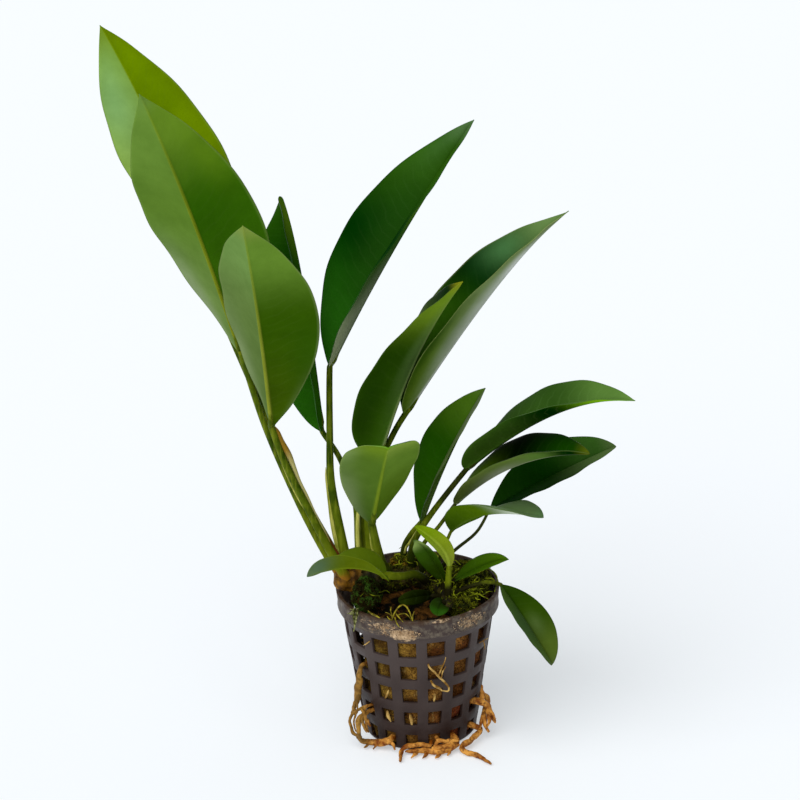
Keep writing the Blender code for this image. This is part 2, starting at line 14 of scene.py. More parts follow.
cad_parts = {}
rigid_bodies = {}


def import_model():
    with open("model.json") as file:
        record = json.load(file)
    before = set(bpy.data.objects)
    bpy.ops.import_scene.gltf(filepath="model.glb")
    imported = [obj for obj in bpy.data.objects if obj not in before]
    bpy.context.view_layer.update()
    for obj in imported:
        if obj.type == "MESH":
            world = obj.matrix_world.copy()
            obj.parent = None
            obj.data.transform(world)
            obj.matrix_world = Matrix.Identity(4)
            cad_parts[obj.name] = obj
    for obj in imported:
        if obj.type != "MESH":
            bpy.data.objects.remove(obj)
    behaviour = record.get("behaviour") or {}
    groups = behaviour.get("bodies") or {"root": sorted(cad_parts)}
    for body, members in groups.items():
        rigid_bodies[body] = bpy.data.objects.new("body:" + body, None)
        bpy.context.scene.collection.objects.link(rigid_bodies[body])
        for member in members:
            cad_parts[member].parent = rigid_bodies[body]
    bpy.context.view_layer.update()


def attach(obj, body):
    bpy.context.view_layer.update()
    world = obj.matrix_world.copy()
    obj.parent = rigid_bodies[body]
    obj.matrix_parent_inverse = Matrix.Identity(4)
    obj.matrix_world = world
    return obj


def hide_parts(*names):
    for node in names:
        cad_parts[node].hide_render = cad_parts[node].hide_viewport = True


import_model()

# The basket is moulded in one piece from grey-purple plastic: a foot with slots, five rows of
# sixteen holes and a plain collar. One eighth of its skin is drawn and repeated round the axis.
MM = 0.001
POT_HEIGHT = 48.0
RIM_RADIUS = 25.0
FOOT_RADIUS = 17.3
WALL_SLOPE = 0.147
WALL = 1.0
FIRST_COLUMN_ANGLE = -9.4
COLUMNS = 16
STRUT = 3.3
HOLE_ROWS = 5
FIRST_ROW_HEIGHT = 3.6
ROW_PITCH = 8.35
LOWEST_HOLE = 4.6
HOLE_GROWTH = 0.2
HUB_RADIUS = 6.5
SLOT_RADIUS = 13.4
FOOT_ROUNDING = 0.7
COLLAR_FOOT = 42.0
# Set back from the rim and height of the collar's outer face, from its foot up to the lip.
COLLAR_PROFILE = [(1.0, COLLAR_FOOT - 0.3), (0.2, COLLAR_FOOT + 0.3), (0.35, COLLAR_FOOT + 2.2),
                  (0.1, POT_HEIGHT - 1.2)]
COLUMNS_IN_TILE = 2
STEPS_IN_HOLE = 4
STEPS_IN_STRUT = 3
WOBBLE = 0.28
NOISE_SEED = 3


def node(tree, kind, inputs=None, **settings):
    """Add a node whose inputs are values, or are fed by other nodes."""
    made = tree.nodes.new(kind)
    for name, value in settings.items():
        setattr(made, name, value)
    for key, value in (inputs or {}).items():
        if isinstance(value, bpy.types.Node):
            value = value.outputs[0]
        if isinstance(value, bpy.types.NodeSocket):
            tree.links.new(value, made.inputs[key])
        else:
            made.inputs[key].default_value = value
    return made


def new_geometry_tree(name, sizes):
    """A geometry tree that takes a mesh and named sizes, and the sockets that they come in by."""
    tree = bpy.data.node_groups.new(name, "GeometryNodeTree")
    tree.interface.new_socket("Geometry", in_out="INPUT", socket_type="NodeSocketGeometry")
    for label, kind in sizes.items():
        tree.interface.new_socket(label, in_out="INPUT", socket_type="NodeSocket" + kind)
    tree.interface.new_socket("Geometry", in_out="OUTPUT", socket_type="NodeSocketGeometry")
    return tree, tree.nodes.new("NodeGroupInput").outputs


def end_tree(tree, geometry, finish):
    """End a tree in real geometry with its finish set."""
    real = node(tree, "GeometryNodeRealizeInstances", {0: geometry})
    painted = node(tree, "GeometryNodeSetMaterial", {"Geometry": real, "Material": finish})
    tree.links.new(painted.outputs[0], tree.nodes.new("NodeGroupOutput").inputs[0])


def grown_by(tree, source, values):
    """The plain mesh that a geometry tree makes from a source mesh with the values given."""
    carrier = bpy.data.objects.new(source.name, source)
    bpy.context.collection.objects.link(carrier)
    step = carrier.modifiers.new("grow", "NODES")
    step.node_group = tree
    for item in tree.interface.items_tree:
        if item.in_out == "INPUT" and item.name in values:
            step[item.identifier] = values[item.name]
    graph = bpy.context.evaluated_depsgraph_get()
    made = bpy.data.meshes.new_from_object(carrier.evaluated_get(graph))
    bpy.data.objects.remove(carrier, do_unlink=True)
    return made


def place(mesh, name, stands_for):
    """Show a finished mesh as one piece of the object, in place of its plain solids."""
    mesh.name = name
    mesh.shade_smooth()
    piece = bpy.data.objects.new(name, mesh)
    bpy.context.collection.objects.link(piece)
    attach(piece, "root")
    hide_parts(*stands_for)
    return piece


def shade(red, green, blue):
    """A colour picked on a screen, as the shader's linear numbers."""
    linear = []
    for level in (red, green, blue):
        share = level / 255
        linear.append(share / 12.92 if share <= 0.04045 else ((share + 0.055) / 1.055) ** 2.4)
    return (*linear, 1.0)


def new_material(name, roughness, specular):
    made = bpy.data.materials.new(name)
    made.use_nodes = True
    shader = made.node_tree.nodes["Principled BSDF"]
    shader.inputs["Roughness"].default_value = roughness
    shader.inputs["Specular IOR Level"].default_value = specular
    return made, made.node_tree, shader


def grain(tree, size, detail=3.0, stretch=(1.0, 1.0, 1.0), coarse=0.5):
    """Noise whose lumps are about size millimetres across."""
    where = node(tree, "ShaderNodeTexCoord").outputs["Object"]
    scaled = node(tree, "ShaderNodeMapping", {"Vector": where, "Scale": stretch})
    return node(tree, "ShaderNodeTexNoise", {"Vector": scaled, "Scale": 1 / (size * MM),
                                             "Detail": detail, "Roughness": coarse}).outputs["Fac"]


def ranged(tree, value, low, high, to_low=0.0, to_high=1.0):
    return node(tree, "ShaderNodeMapRange", {0: value, 1: low, 2: high, 3: to_low, 4: to_high})


def mixed(tree, share, first, second):
    return node(tree, "ShaderNodeMix", {0: share, 6: first, 7: second}, data_type="RGBA").outputs[2]


def maths(tree, operation, first, second=0.0):
    return node(tree, "ShaderNodeMath", {0: first, 1: second}, operation=operation)


def times(tree, first, second):
    return maths(tree, "MULTIPLY", first, second)


def two_toned(tree, size, detail, low, high, dark, light, **grain_settings):
    """A colour that wanders between two shades in lumps about size millimetres across."""
    lumps = grain(tree, size, detail, **grain_settings)
    return mixed(tree, ranged(tree, lumps, low, high), shade(*dark), shade(*light))


def place_on_piece(tree):
    """X, Y and Z of every place on a piece, in metres."""
    where = node(tree, "ShaderNodeTexCoord").outputs["Object"]
    return node(tree, "ShaderNodeSeparateXYZ", {0: where}).outputs


def paint(tree, shader, colour):
    tree.links.new(colour, shader.inputs["Base Color"])


def raised(tree, shader, height, distance, strength=1.0):
    """Bump of about distance millimetres on the shader."""
    bump = node(tree, "ShaderNodeBump", {"Height": height, "Distance": distance * MM,
                                         "Strength": strength})
    tree.links.new(bump.outputs[0], shader.inputs["Normal"])


def mesh_of(name, points, faces):
    mesh = bpy.data.meshes.new(name)
    mesh.from_pydata(points, [], faces)
    return mesh


def face_outwards(mesh):
    """Turn all the faces of a mesh to its outside."""
    body = bmesh.new()
    body.from_mesh(mesh)
    bmesh.ops.recalc_face_normals(body, faces=body.faces)
    body.to_mesh(mesh)
    body.free()


def wall_radius(height):
    return FOOT_RADIUS + WALL_SLOPE * height


def basket_levels():
    """Radius and height of the skin's rings from hub to lip, and the band above each."""
    levels = [((0.0, 0.0), "solid"), ((HUB_RADIUS, 0.0), "slots"), ((SLOT_RADIUS, 0.0), "solid"),
              ((FOOT_RADIUS - FOOT_ROUNDING, 0.0), "solid"),
              ((wall_radius(FOOT_ROUNDING), FOOT_ROUNDING), "solid")]
    for row in range(HOLE_ROWS):
        middle = FIRST_ROW_HEIGHT + ROW_PITCH * row
        half = (LOWEST_HOLE + HOLE_GROWTH * row) / 2
        levels += [((wall_radius(middle - half), middle - half), "hole"),
                   ((wall_radius(middle), middle), "hole"),
                   ((wall_radius(middle + half), middle + half), "solid")]
    levels += [((RIM_RADIUS - inset, height), "solid") for inset, height in COLLAR_PROFILE]
    return levels + [((RIM_RADIUS, POT_HEIGHT), "end")]


def basket_tile():
    """The skin across two columns of holes."""
    pitch = 360.0 / COLUMNS
    open_steps = []
    for column in range(COLUMNS_IN_TILE):
        open_steps += [("hole", "slots")] * STEPS_IN_HOLE
        open_steps += [("slots",) if column == 0 else ()] * STEPS_IN_STRUT
    across = len(open_steps) + 1
    levels = basket_levels()
    points = []
    for (radius, height), _ in levels:
        strut = math.degrees(STRUT / wall_radius(height))
        hole = pitch - strut
        for step in range(across):
            column, part = divmod(step, STEPS_IN_HOLE + STEPS_IN_STRUT)
            angle = FIRST_COLUMN_ANGLE + pitch * column - hole / 2
            angle += hole * min(part, STEPS_IN_HOLE) / STEPS_IN_HOLE
            angle += strut * max(part - STEPS_IN_HOLE, 0) / STEPS_IN_STRUT
            turn = math.radians(angle)
            points.append((radius * math.sin(turn) * MM, -radius * math.cos(turn) * MM,
                           height * MM))
    faces = []
    for level in range(len(levels) - 1):
        band = levels[level][1]
        for step in range(across - 1):
            if band not in open_steps[step]:
                low = level * across + step
                faces.append((low, low + 1, low + across + 1, low + across))
    return mesh_of("basket_tile", points, faces)


# Dried tan film on the collar, as soft spots: angle from the front and its reach in degrees,
# height and its reach in millimetres, and strength.
FILM_SPOTS = [(-11, 11, 43.1, 2.6, 1.0), (-24, 16, 44.6, 3.2, 0.62), (39, 18, 45.0, 3.4, 0.6),
              (16, 16, 47.6, 0.9, 0.55), (-44, 14, 45.4, 2.6, 0.42)]


def film_cover(tree, angle, height):
    """How much film each place carries: the strongest of its soft spots."""
    cover = 0.0
    for middle, reach, level, rise, strength in FILM_SPOTS:
        aside = maths(tree, "DIVIDE", maths(tree, "SUBTRACT", angle, math.radians(middle)),
                      math.radians(reach))
        above = maths(tree, "DIVIDE", maths(tree, "SUBTRACT", height, level * MM), rise * MM)
        away = maths(tree, "ADD", times(tree, aside, aside), times(tree, above, above))
        cover = maths(tree, "MAXIMUM", ranged(tree, away, 0.0, 1.6, strength, 0.0), cover)
    return cover


plastic, tree, shader = new_material("basket_plastic", 0.5, 0.2)
position = place_on_piece(tree)
height = position["Z"]
front = times(tree, position["Y"], -1.0)
angle = maths(tree, "ARCTAN2", position["X"], front)
body_colour = mixed(tree, ranged(tree, height, 3 * MM, 40 * MM), shade(30, 8, 0), shade(68, 57, 54))
blotches = ranged(tree, grain(tree, 6.0, 5.0), 0.38, 0.7)
body_colour = mixed(tree, times(tree, blotches, 0.3), body_colour, shade(88, 76, 72))
on_collar = ranged(tree, height, 41.6 * MM, 42.8 * MM)
collar_colour = two_toned(tree, 2.0, 6.0, 0.44, 0.66, (62, 50, 46), (108, 98, 84), coarse=0.72)
body_colour = mixed(tree, on_collar, body_colour, collar_colour)
near_lip = times(tree, ranged(tree, height, 46.0 * MM, 47.6 * MM),
                 ranged(tree, grain(tree, 3.0, 5.0), 0.36, 0.56, 0.0, 0.8))
body_colour = mixed(tree, near_lip, body_colour, shade(62, 40, 20))
speckle = grain(tree, 1.1, 7.0, stretch=(0.8, 0.8, 1.5), coarse=0.75)
speckle = times(tree, maths(tree, "SUBTRACT", speckle, 0.5), 2.6)
film = ranged(tree, maths(tree, "ADD", film_cover(tree, angle, height), speckle), 0.52, 0.68)
film_colour = two_toned(tree, 1.6, 5.0, 0.36, 0.62, (142, 112, 78), (214, 184, 146))
body_colour = mixed(tree, film, body_colour, film_colour)
paint(tree, shader, body_colour)
tree.links.new(ranged(tree, grain(tree, 3.0), 0.3, 0.7, 0.4, 0.66).outputs[0],
               shader.inputs["Roughness"])
relief = maths(tree, "ADD", grain(tree, 0.8, 5.0), times(tree, film, 0.8))
raised(tree, shader, relief, 0.12, 0.6)

repeat_tree, size = new_geometry_tree("repeated_round_the_axis",
                                      {"Copies": "Int", "Turn": "Float", "Weld": "Float",
                                       "Finish": "Material"})
spots = node(repeat_tree, "GeometryNodeMeshLine", {"Count": size["Copies"], "Offset": (0, 0, 0)})
turned = times(repeat_tree, node(repeat_tree, "GeometryNodeInputIndex"), size["Turn"])
upright = node(repeat_tree, "ShaderNodeCombineXYZ", {"Z": turned})
copies = node(repeat_tree, "GeometryNodeInstanceOnPoints",
              {"Points": spots, "Instance": size["Geometry"],
               "Rotation": node(repeat_tree, "FunctionNodeEulerToRotation", {0: upright})})
joined = node(repeat_tree, "GeometryNodeRealizeInstances", {0: copies})
welded = node(repeat_tree, "GeometryNodeMergeByDistance", {"Geometry": joined,
                                                           "Distance": size["Weld"]})
end_tree(repeat_tree, welded, size["Finish"])

tiles = COLUMNS // COLUMNS_IN_TILE
skin = grown_by(repeat_tree, basket_tile(), {"Copies": tiles, "Turn": 2 * math.pi / tiles,
                                             "Weld": 0.02 * MM, "Finish": plastic})
# With no seed set, noise_vector differs in every run.
noise.seed_set(NOISE_SEED)
face_outwards(skin)
for vertex in skin.vertices:
    wobble = noise.noise_vector(vertex.co * 90.0) * WOBBLE * MM
    wobble.z *= 0.6 if vertex.co.z > 1.0 * MM else 0.0
    vertex.co += wobble
basket = place(skin, "basket", ["net_pot"])
wall = basket.modifiers.new("wall", "SOLIDIFY")
wall.thickness = WALL * MM
wall.offset = -1.0
wall.use_even_offset = True
edges = basket.modifiers.new("rounded_edges", "BEVEL")
edges.width = 0.2 * MM
edges.segments = 2
edges.limit_method = "ANGLE"
edges.angle_limit = math.radians(40)

# Dried dust and fibre crumbs sit on the film of the collar, front left and right. The crumbs are
# small flat tan grains that are scattered on patches of the collar's outer face.
CRUST_PATCHES = [(-32, -8, 43.0, 46.8), (-20, 2, 42.2, 45.0), (24, 54, 43.2, 47.0)]
OVER_COLLAR = 0.02


def collar_patch(patches):
    """Pieces of the collar's outer face, each between two angles and two heights."""
    points = []
    faces = []
    steps = 12
    for left, right, low, high in patches:
        first = len(points)
        for step in range(steps + 1):
            turn = math.radians(left + (right - left) * step / steps)
            fade = 0.25 + 0.75 * math.sin(math.pi * step / steps)
            middle = (low + high) / 2
            for height in (middle + (low - middle) * fade, middle + (high - middle) * fade):
                reach = RIM_RADIUS + OVER_COLLAR
                points.append((reach * math.sin(turn) * MM, -reach * math.cos(turn) * MM,
                               height * MM))
        for step in range(steps):
            low_corner = first + 2 * step
            faces.append((low_corner, low_corner + 2, low_corner + 3, low_corner + 1))
    return mesh_of("collar_patch", points, faces)


def body_to_mesh(body, name):
    """The mesh of a bmesh that is done with."""
    mesh = bpy.data.meshes.new(name)
    body.to_mesh(mesh)
    body.free()
    return mesh


def small_lump(name, half_sizes, seed):
    """A rough closed grain of twenty faces."""
    body = bmesh.new()
    bmesh.ops.create_icosphere(body, subdivisions=1, radius=1.0)
    for vertex in body.verts:
        lump = 1.0 + 0.5 * noise.noise(vertex.co * 1.7 + Vector((seed, 0, 0)))
        vertex.co = Vector(vertex.co[k] * half_sizes[k] * lump * MM for k in range(3))
    return body_to_mesh(body, name)


def hidden_object(mesh):
    """An object that a scatter takes its copies from; it is deleted after use."""
    made = bpy.data.objects.new(mesh.name, mesh)
    bpy.context.collection.objects.link(made)
    return made


scatter_tree, size = new_geometry_tree("scattered_on_a_surface",
                                       {"Grain": "Object", "Density": "Float", "Smallest": "Float",
                                        "Largest": "Float", "Lean": "Float", "Seed": "Int",
                                        "Keep Ground": "Bool", "Finish": "Material",
                                        "Ground Finish": "Material"})
spots = node(scatter_tree, "GeometryNodeDistributePointsOnFaces",
             {"Mesh": size["Geometry"], "Density": size["Density"], "Seed": size["Seed"]})
lean_low = times(scatter_tree, size["Lean"], -1.0)
low_turn = node(scatter_tree, "ShaderNodeCombineXYZ", {0: lean_low, 1: lean_low, 2: 0.0})
high_turn = node(scatter_tree, "ShaderNodeCombineXYZ", {0: size["Lean"], 1: size["Lean"],
                                                        2: 2 * math.pi})
lean = node(scatter_tree, "FunctionNodeRandomValue", {0: low_turn, 1: high_turn,
                                                      "Seed": size["Seed"]},
            data_type="FLOAT_VECTOR")
turned = node(scatter_tree, "FunctionNodeRotateRotation",
              {0: spots.outputs["Rotation"],
               1: node(scatter_tree, "FunctionNodeEulerToRotation", {0: lean.outputs[0]})},
              rotation_space="LOCAL")
spread = node(scatter_tree, "FunctionNodeRandomValue", {2: size["Smallest"], 3: size["Largest"],
                                                        "Seed": size["Seed"]}, data_type="FLOAT")
grain_shape = node(scatter_tree, "GeometryNodeObjectInfo", {"Object": size["Grain"]})
copies = node(scatter_tree, "GeometryNodeInstanceOnPoints",
              {"Points": spots.outputs["Points"], "Instance": grain_shape.outputs["Geometry"],
               "Rotation": turned, "Scale": spread.outputs[1]})
real = node(scatter_tree, "GeometryNodeRealizeInstances", {0: copies})
painted = node(scatter_tree, "GeometryNodeSetMaterial", {"Geometry": real,
                                                         "Material": size["Finish"]})
ground = node(scatter_tree, "GeometryNodeSetMaterial", {"Geometry": size["Geometry"],
                                                        "Material": size["Ground Finish"]})
with_ground = node(scatter_tree, "GeometryNodeJoinGeometry", {0: ground})
scatter_tree.links.new(painted.outputs[0], with_ground.inputs[0])
choice = node(scatter_tree, "GeometryNodeSwitch", {"Switch": size["Keep Ground"],
                                                   "False": painted, "True": with_ground},
              input_type="GEOMETRY")
real_ends = node(scatter_tree, "GeometryNodeRealizeInstances", {0: choice})
scatter_tree.links.new(real_ends.outputs[0], scatter_tree.nodes.new("NodeGroupOutput").inputs[0])

crust, tree, shader = new_material("dried_crust", 0.9, 0.2)
paint(tree, shader, two_toned(tree, 0.9, 3.0, 0.35, 0.65, (112, 84, 54), (206, 176, 138)))
raised(tree, shader, grain(tree, 0.25), 0.1)

grain_object = hidden_object(small_lump("crust_grain", (0.4, 0.24, 0.1), 3.0))
crust_mesh = grown_by(scatter_tree, collar_patch(CRUST_PATCHES),
                      {"Grain": grain_object, "Density": 2.6e6, "Smallest": 0.2, "Largest": 0.8,
                       "Lean": 0.35, "Seed": 4, "Keep Ground": False, "Finish": crust,
                       "Ground Finish": crust})
bpy.data.objects.remove(grain_object, do_unlink=True)
place(crust_mesh, "collar_crust", [])

# The basket is filled with a plug of coconut fibre, thin on its left side. The fibre is
# pressed into the holes of the wall, hollow in places, and heaped up round the rhizome on top.
PLUG_TOP = 44.6
PLUG_LEFT = -16.6
PLUG_FOOT = 1.4
HOLE_BULGE = 0.55
HEAP = 3.4
HEAP_SPREAD = 70.0
# Angle from the front and height of the holes behind which the fibre has fallen back.
HOLLOWS = [(35.6, 28.6), (35.6, 20.2), (-54.4, 28.6), (-54.4, 20.2), (58.1, 11.9)]
HOLLOW_HALF_ANGLE = 9
HOLLOW_HALF_HEIGHT = 3.4
HOLLOW_DEPTH = 2.2
DEEPEST = 2.6
DIPS = 3.2
FINE_DIPS = 0.35
TOP_DIPS = 1.3
TOP_FINE_DIPS = 0.6
RINGS_ON_TOP = (0.95, 0.88, 0.8, 0.7, 0.6, 0.5, 0.4, 0.3, 0.2, 0.1, 0.04)
PLUG_SIDES = 176
PLUG_LEVELS = 62
LEAST_HEIGHT = 1.0


def hole_share(angle, height):
    """One in the middle of each hole of the wall, falling to zero at its edges."""
    column = math.cos(math.radians(angle - FIRST_COLUMN_ANGLE) * COLUMNS)
    row = math.cos(2 * math.pi * (height - FIRST_ROW_HEIGHT) / ROW_PITCH)
    return max(0.0, 0.25 + 0.75 * column) * max(0.0, 0.25 + 0.75 * row)


def plug_surface():
    """The plug's lumpy skin as rings of points, closed at its foot and in the middle of its top."""
    rings = []
    widest = RIM_RADIUS - WALL - 1.8
    for level in range(PLUG_LEVELS):
        height = PLUG_FOOT + (PLUG_TOP - 2.0 - PLUG_FOOT) * level / (PLUG_LEVELS - 1)
        rings.append((min(wall_radius(height) - WALL - 0.1, widest), height))
    rings += [(share * widest, PLUG_TOP) for share in RINGS_ON_TOP]
    points = []
    for radius, height in rings:
        for side in range(PLUG_SIDES):
            angle = 360 * side / PLUG_SIDES
            outward = Vector((math.sin(math.radians(angle)), -math.cos(math.radians(angle)), 0))
            spot = outward * radius
            spot.z = height
            hollow = noise.noise(spot * 0.12 + Vector((3.0, 0, 0)))
            fine = noise.noise(spot * 0.55 + Vector((7, 3, 1)))
            if height < PLUG_TOP:
                drop = DIPS * max(0.0, hollow - 0.12) + FINE_DIPS * max(0.0, fine)
                for hollow_angle, hollow_height in HOLLOWS:
                    turn = (angle - hollow_angle + 180) % 360 - 180
                    away = (turn / HOLLOW_HALF_ANGLE) ** 2
                    away += ((height - hollow_height) / HOLLOW_HALF_HEIGHT) ** 2
                    drop += HOLLOW_DEPTH * math.exp(-away)
                spot += outward * (HOLE_BULGE * hole_share(angle, height) - min(drop, DEEPEST))
            else:
                heap = HEAP * math.exp(-(spot.y + 1.0) ** 2 / HEAP_SPREAD)
                spot.z += heap + TOP_DIPS * noise.noise(spot * 0.2) + TOP_FINE_DIPS * fine
            spot.x = max(spot.x, PLUG_LEFT)
            points.append(spot * MM)
    faces = []
    for low in range(0, (len(rings) - 1) * PLUG_SIDES, PLUG_SIDES):
        high = low + PLUG_SIDES
        for side in range(PLUG_SIDES):
            near = (side + 1) % PLUG_SIDES
            faces.append((low + side, low + near, high + near, high + side))
    faces.append(tuple(reversed(range(PLUG_SIDES))))
    faces.append(tuple(range((len(rings) - 1) * PLUG_SIDES, len(rings) * PLUG_SIDES)))
    return mesh_of("plug_surface", points, faces)


def sliver(points, radii):
    """A closed three-sided strand through the points, as points and faces."""
    corners = []
    faces = []
    for index, centre in enumerate(points):
        ahead = points[min(index + 1, len(points) - 1)]
        behind = points[max(index - 1, 0)]
        tangent = (ahead - behind).normalized()
        across = tangent.cross(Vector((0.3, 0.5, 0.81))).normalized()
        other = tangent.cross(across)
        for side in range(3):
            turn = 2 * math.pi * side / 3
            corners.append(centre + radii[index] * (across * math.cos(turn)
                                                    + other * math.sin(turn)))
    last = 3 * (len(points) - 1)
    for low in range(0, last, 3):
        for side in range(3):
            near = (side + 1) % 3
            faces.append((low + side, low + near, low + 3 + near, low + 3 + side))
    return corners, faces + [(2, 1, 0), (last, last + 1, last + 2)]


def tuft(name, strands):
    """One mesh of several slivers; each strand is its points and radii in millimetres."""
    points = []
    faces = []
    for route, radii in strands:
        corners, sides = sliver([Vector(spot) for spot in route], radii)
        faces += [tuple(len(points) + corner for corner in face) for face in sides]
        points += [corner * MM for corner in corners]
    return mesh_of(name, points, faces)


fibre, tree, shader = new_material("coconut_fibre", 0.95, 0.1)
position = place_on_piece(tree)
to_right = ranged(tree, position["X"], -14 * MM, 12 * MM)
up = ranged(tree, position["Z"], 10 * MM, 24 * MM)
patches = ranged(tree, grain(tree, 6.0, 4.0), 0.38, 0.62)
left_fibre = mixed(tree, patches, shade(98, 72, 18), shade(178, 142, 52))
right_fibre = mixed(tree, patches, shade(104, 50, 16), shade(172, 116, 52))
low_right_fibre = mixed(tree, patches, shade(104, 16, 10), shade(138, 66, 30))
right_fibre = mixed(tree, up, low_right_fibre, right_fibre)
fibre_colour = mixed(tree, to_right, left_fibre, right_fibre)
strands = ranged(tree, grain(tree, 0.6, 6.0, coarse=0.75), 0.36, 0.6)
fibre_colour = mixed(tree, strands, shade(52, 28, 8), fibre_colour)
pale = ranged(tree, grain(tree, 2.2, 3.0, stretch=(1.0, 1.0, 0.4)), 0.6, 0.68, 0.0, 0.6)
fibre_colour = mixed(tree, pale, fibre_colour, shade(196, 160, 96))
on_top = ranged(tree, position["Z"], 42.0 * MM, 44.0 * MM)
soil = two_toned(tree, 3.4, 5.0, 0.46, 0.62, (14, 11, 4), (112, 72, 26), coarse=0.6)
paint(tree, shader, mixed(tree, on_top, fibre_colour, soil))
raised(tree, shader, grain(tree, 0.6, 6.0, coarse=0.75), 0.6)

one_fibre = ([(-2.6, 0.0, -0.1), (-1.2, 0.5, 0.25), (0.4, 0.2, 0.35), (1.7, -0.5, 0.2),
              (2.8, -0.3, -0.15)], [0.05, 0.11, 0.12, 0.1, 0.04])
strand_object = hidden_object(tuft("fibre_strand", [one_fibre]))
plug_mesh = grown_by(scatter_tree, plug_surface(),
                     {"Grain": strand_object, "Density": 2.8e5, "Smallest": 0.4, "Largest": 1.0,
                      "Lean": 0.3, "Seed": 11, "Keep Ground": True, "Finish": fibre,
                      "Ground Finish": fibre})
bpy.data.objects.remove(strand_object, do_unlink=True)
for vertex in plug_mesh.vertices:
    vertex.co.z = max(vertex.co.z, LEAST_HEIGHT * MM)
place(plug_mesh, "fibre_plug", ["growing_plug"])

# The rhizome is the thick creeping stem that lies on the fibre. It forks once to the front, its
# left end is cut and brown, and ring scars of old leaves cross it every few millimetres.
RHIZOME = {
    "rhizome_left": [(-25.2, -2.4, 52.4, 1.6), (-24.2, -2.3, 52.2, 2.9), (-22.5, -2.2, 51.8, 3.5),
                     (-16.5, -1.0, 50.6, 4.0), (-8.2, -0.8, 50.4, 3.9)],
    "rhizome_right": [(-9.6, -0.8, 50.4, 3.8), (-2.0, 1.2, 50.8, 3.8), (3.0, -0.6, 50.6, 3.5),
                      (7.4, -2.2, 49.8, 2.6), (8.6, -2.6, 49.5, 1.2)],
    "rhizome_front": [(3.4, -2.6, 49.8, 1.9), (5.4, -4.6, 49.6, 2.4), (8.4, -8.4, 49.4, 2.7),
                      (8.6, -16.4, 48.8, 1.9), (8.6, -17.8, 48.6, 1.0)],
}
RING_PITCH = 2.7
RING_SWELL = 0.035
BARK_LUMP = 2.4
BARK_DEPTH = 0.55


def smooth_route(knots, spacing):
    """Points about spacing apart on a smooth curve; its knots are x, y, z and radius."""
    knots = [Vector(knot) for knot in knots]
    ends = [2 * knots[0] - knots[1]] + knots + [2 * knots[-1] - knots[-2]]
    route = [knots[0]]
    for before, start, stop, after in zip(ends, ends[1:], ends[2:], ends[3:]):
        steps = max(1, round((stop.xyz - start.xyz).length / spacing))
        for step in range(1, steps + 1):
            t = step / steps
            route.append(0.5 * ((2 * start) + (stop - before) * t
                                + (2 * before - 5 * start + 4 * stop - after) * t ** 2
                                + (3 * start - before - 3 * stop + after) * t ** 3))
    return route


def drawn_lines(name, routes):
    """A mesh of bare lines with the radius of every point kept in its girth."""
    points = []
    edges = []
    girths = []
    for route in routes:
        edges += [(len(points) + step, len(points) + step + 1) for step in range(len(route) - 1)]
        points += [spot.xyz * MM for spot in route]
        girths += [max(spot.w, 0.02) * MM for spot in route]
    mesh = bpy.data.meshes.new(name)
    mesh.from_pydata(points, edges, [])
    mesh.attributes.new("girth", "FLOAT", "POINT").data.foreach_set("value", girths)
    return mesh


def roughened(mesh, lump_size, amount, seed=0.0):
    """Push the skin in and out by noise of about lump_size millimetres."""
    body = bmesh.new()
    body.from_mesh(mesh)
    body.normal_update()
    shift = Vector((seed, 0.0, 0.0))
    moves = [vertex.normal * amount * MM * noise.noise(vertex.co / (lump_size * MM) + shift)
             for vertex in body.verts]
    for vertex, move in zip(body.verts, moves):
        vertex.co += move
    body.to_mesh(mesh)
    body.free()
    return mesh


rod_tree, size = new_geometry_tree("rod_along_a_line", {"Sides": "Int", "Finish": "Material"})
line = node(rod_tree, "GeometryNodeMeshToCurve", {0: size["Geometry"]})
marked_line = node(rod_tree, "GeometryNodeStoreNamedAttribute",
                   {"Geometry": line, "Name": "along",
                    "Value": node(rod_tree, "GeometryNodeSplineParameter").outputs["Length"]})
ring = node(rod_tree, "GeometryNodeCurvePrimitiveCircle", {"Resolution": size["Sides"],
                                                          "Radius": 1.0})
marked_ring = node(rod_tree, "GeometryNodeStoreNamedAttribute",
                   {"Geometry": ring, "Name": "around",
                    "Value": node(rod_tree, "GeometryNodeSplineParameter").outputs["Factor"]})
girth = node(rod_tree, "GeometryNodeInputNamedAttribute", {"Name": "girth"})
rod = node(rod_tree, "GeometryNodeCurveToMesh", {"Curve": marked_line,
                                                 "Profile Curve": marked_ring, "Scale": girth,
                                                 "Fill Caps": True})
end_tree(rod_tree, rod, size["Finish"])


def rods(name, routes, sides, finish):
    """One mesh of rods with flat sides, each along its own route."""
    return grown_by(rod_tree, drawn_lines(name, routes), {"Sides": sides, "Finish": finish})



bark, tree, shader = new_material("rhizome_skin", 0.65, 0.15)
position = place_on_piece(tree)
to_left = ranged(tree, position["X"], -16.5 * MM, -18.5 * MM)
green_bark = two_toned(tree, 3.0, 4.0, 0.42, 0.62, (20, 18, 4), (66, 58, 12))
brown_bark = two_toned(tree, 3.0, 5.0, 0.4, 0.64, (66, 40, 4), (158, 108, 20))
bark_colour = mixed(tree, to_left, green_bark, brown_bark)
along = node(tree, "ShaderNodeAttribute", attribute_name="along").outputs["Fac"]
ring_share = maths(tree, "PINGPONG", along, RING_PITCH * MM / 2)
scar = ranged(tree, ring_share, 0.0, 0.35 * MM, 1.0, 0.0)
bark_colour = mixed(tree, times(tree, scar, 0.4), bark_colour, shade(44, 28, 8))
paint(tree, shader, bark_colour)
raised(tree, shader, grain(tree, 0.7, 5.0), 0.25)

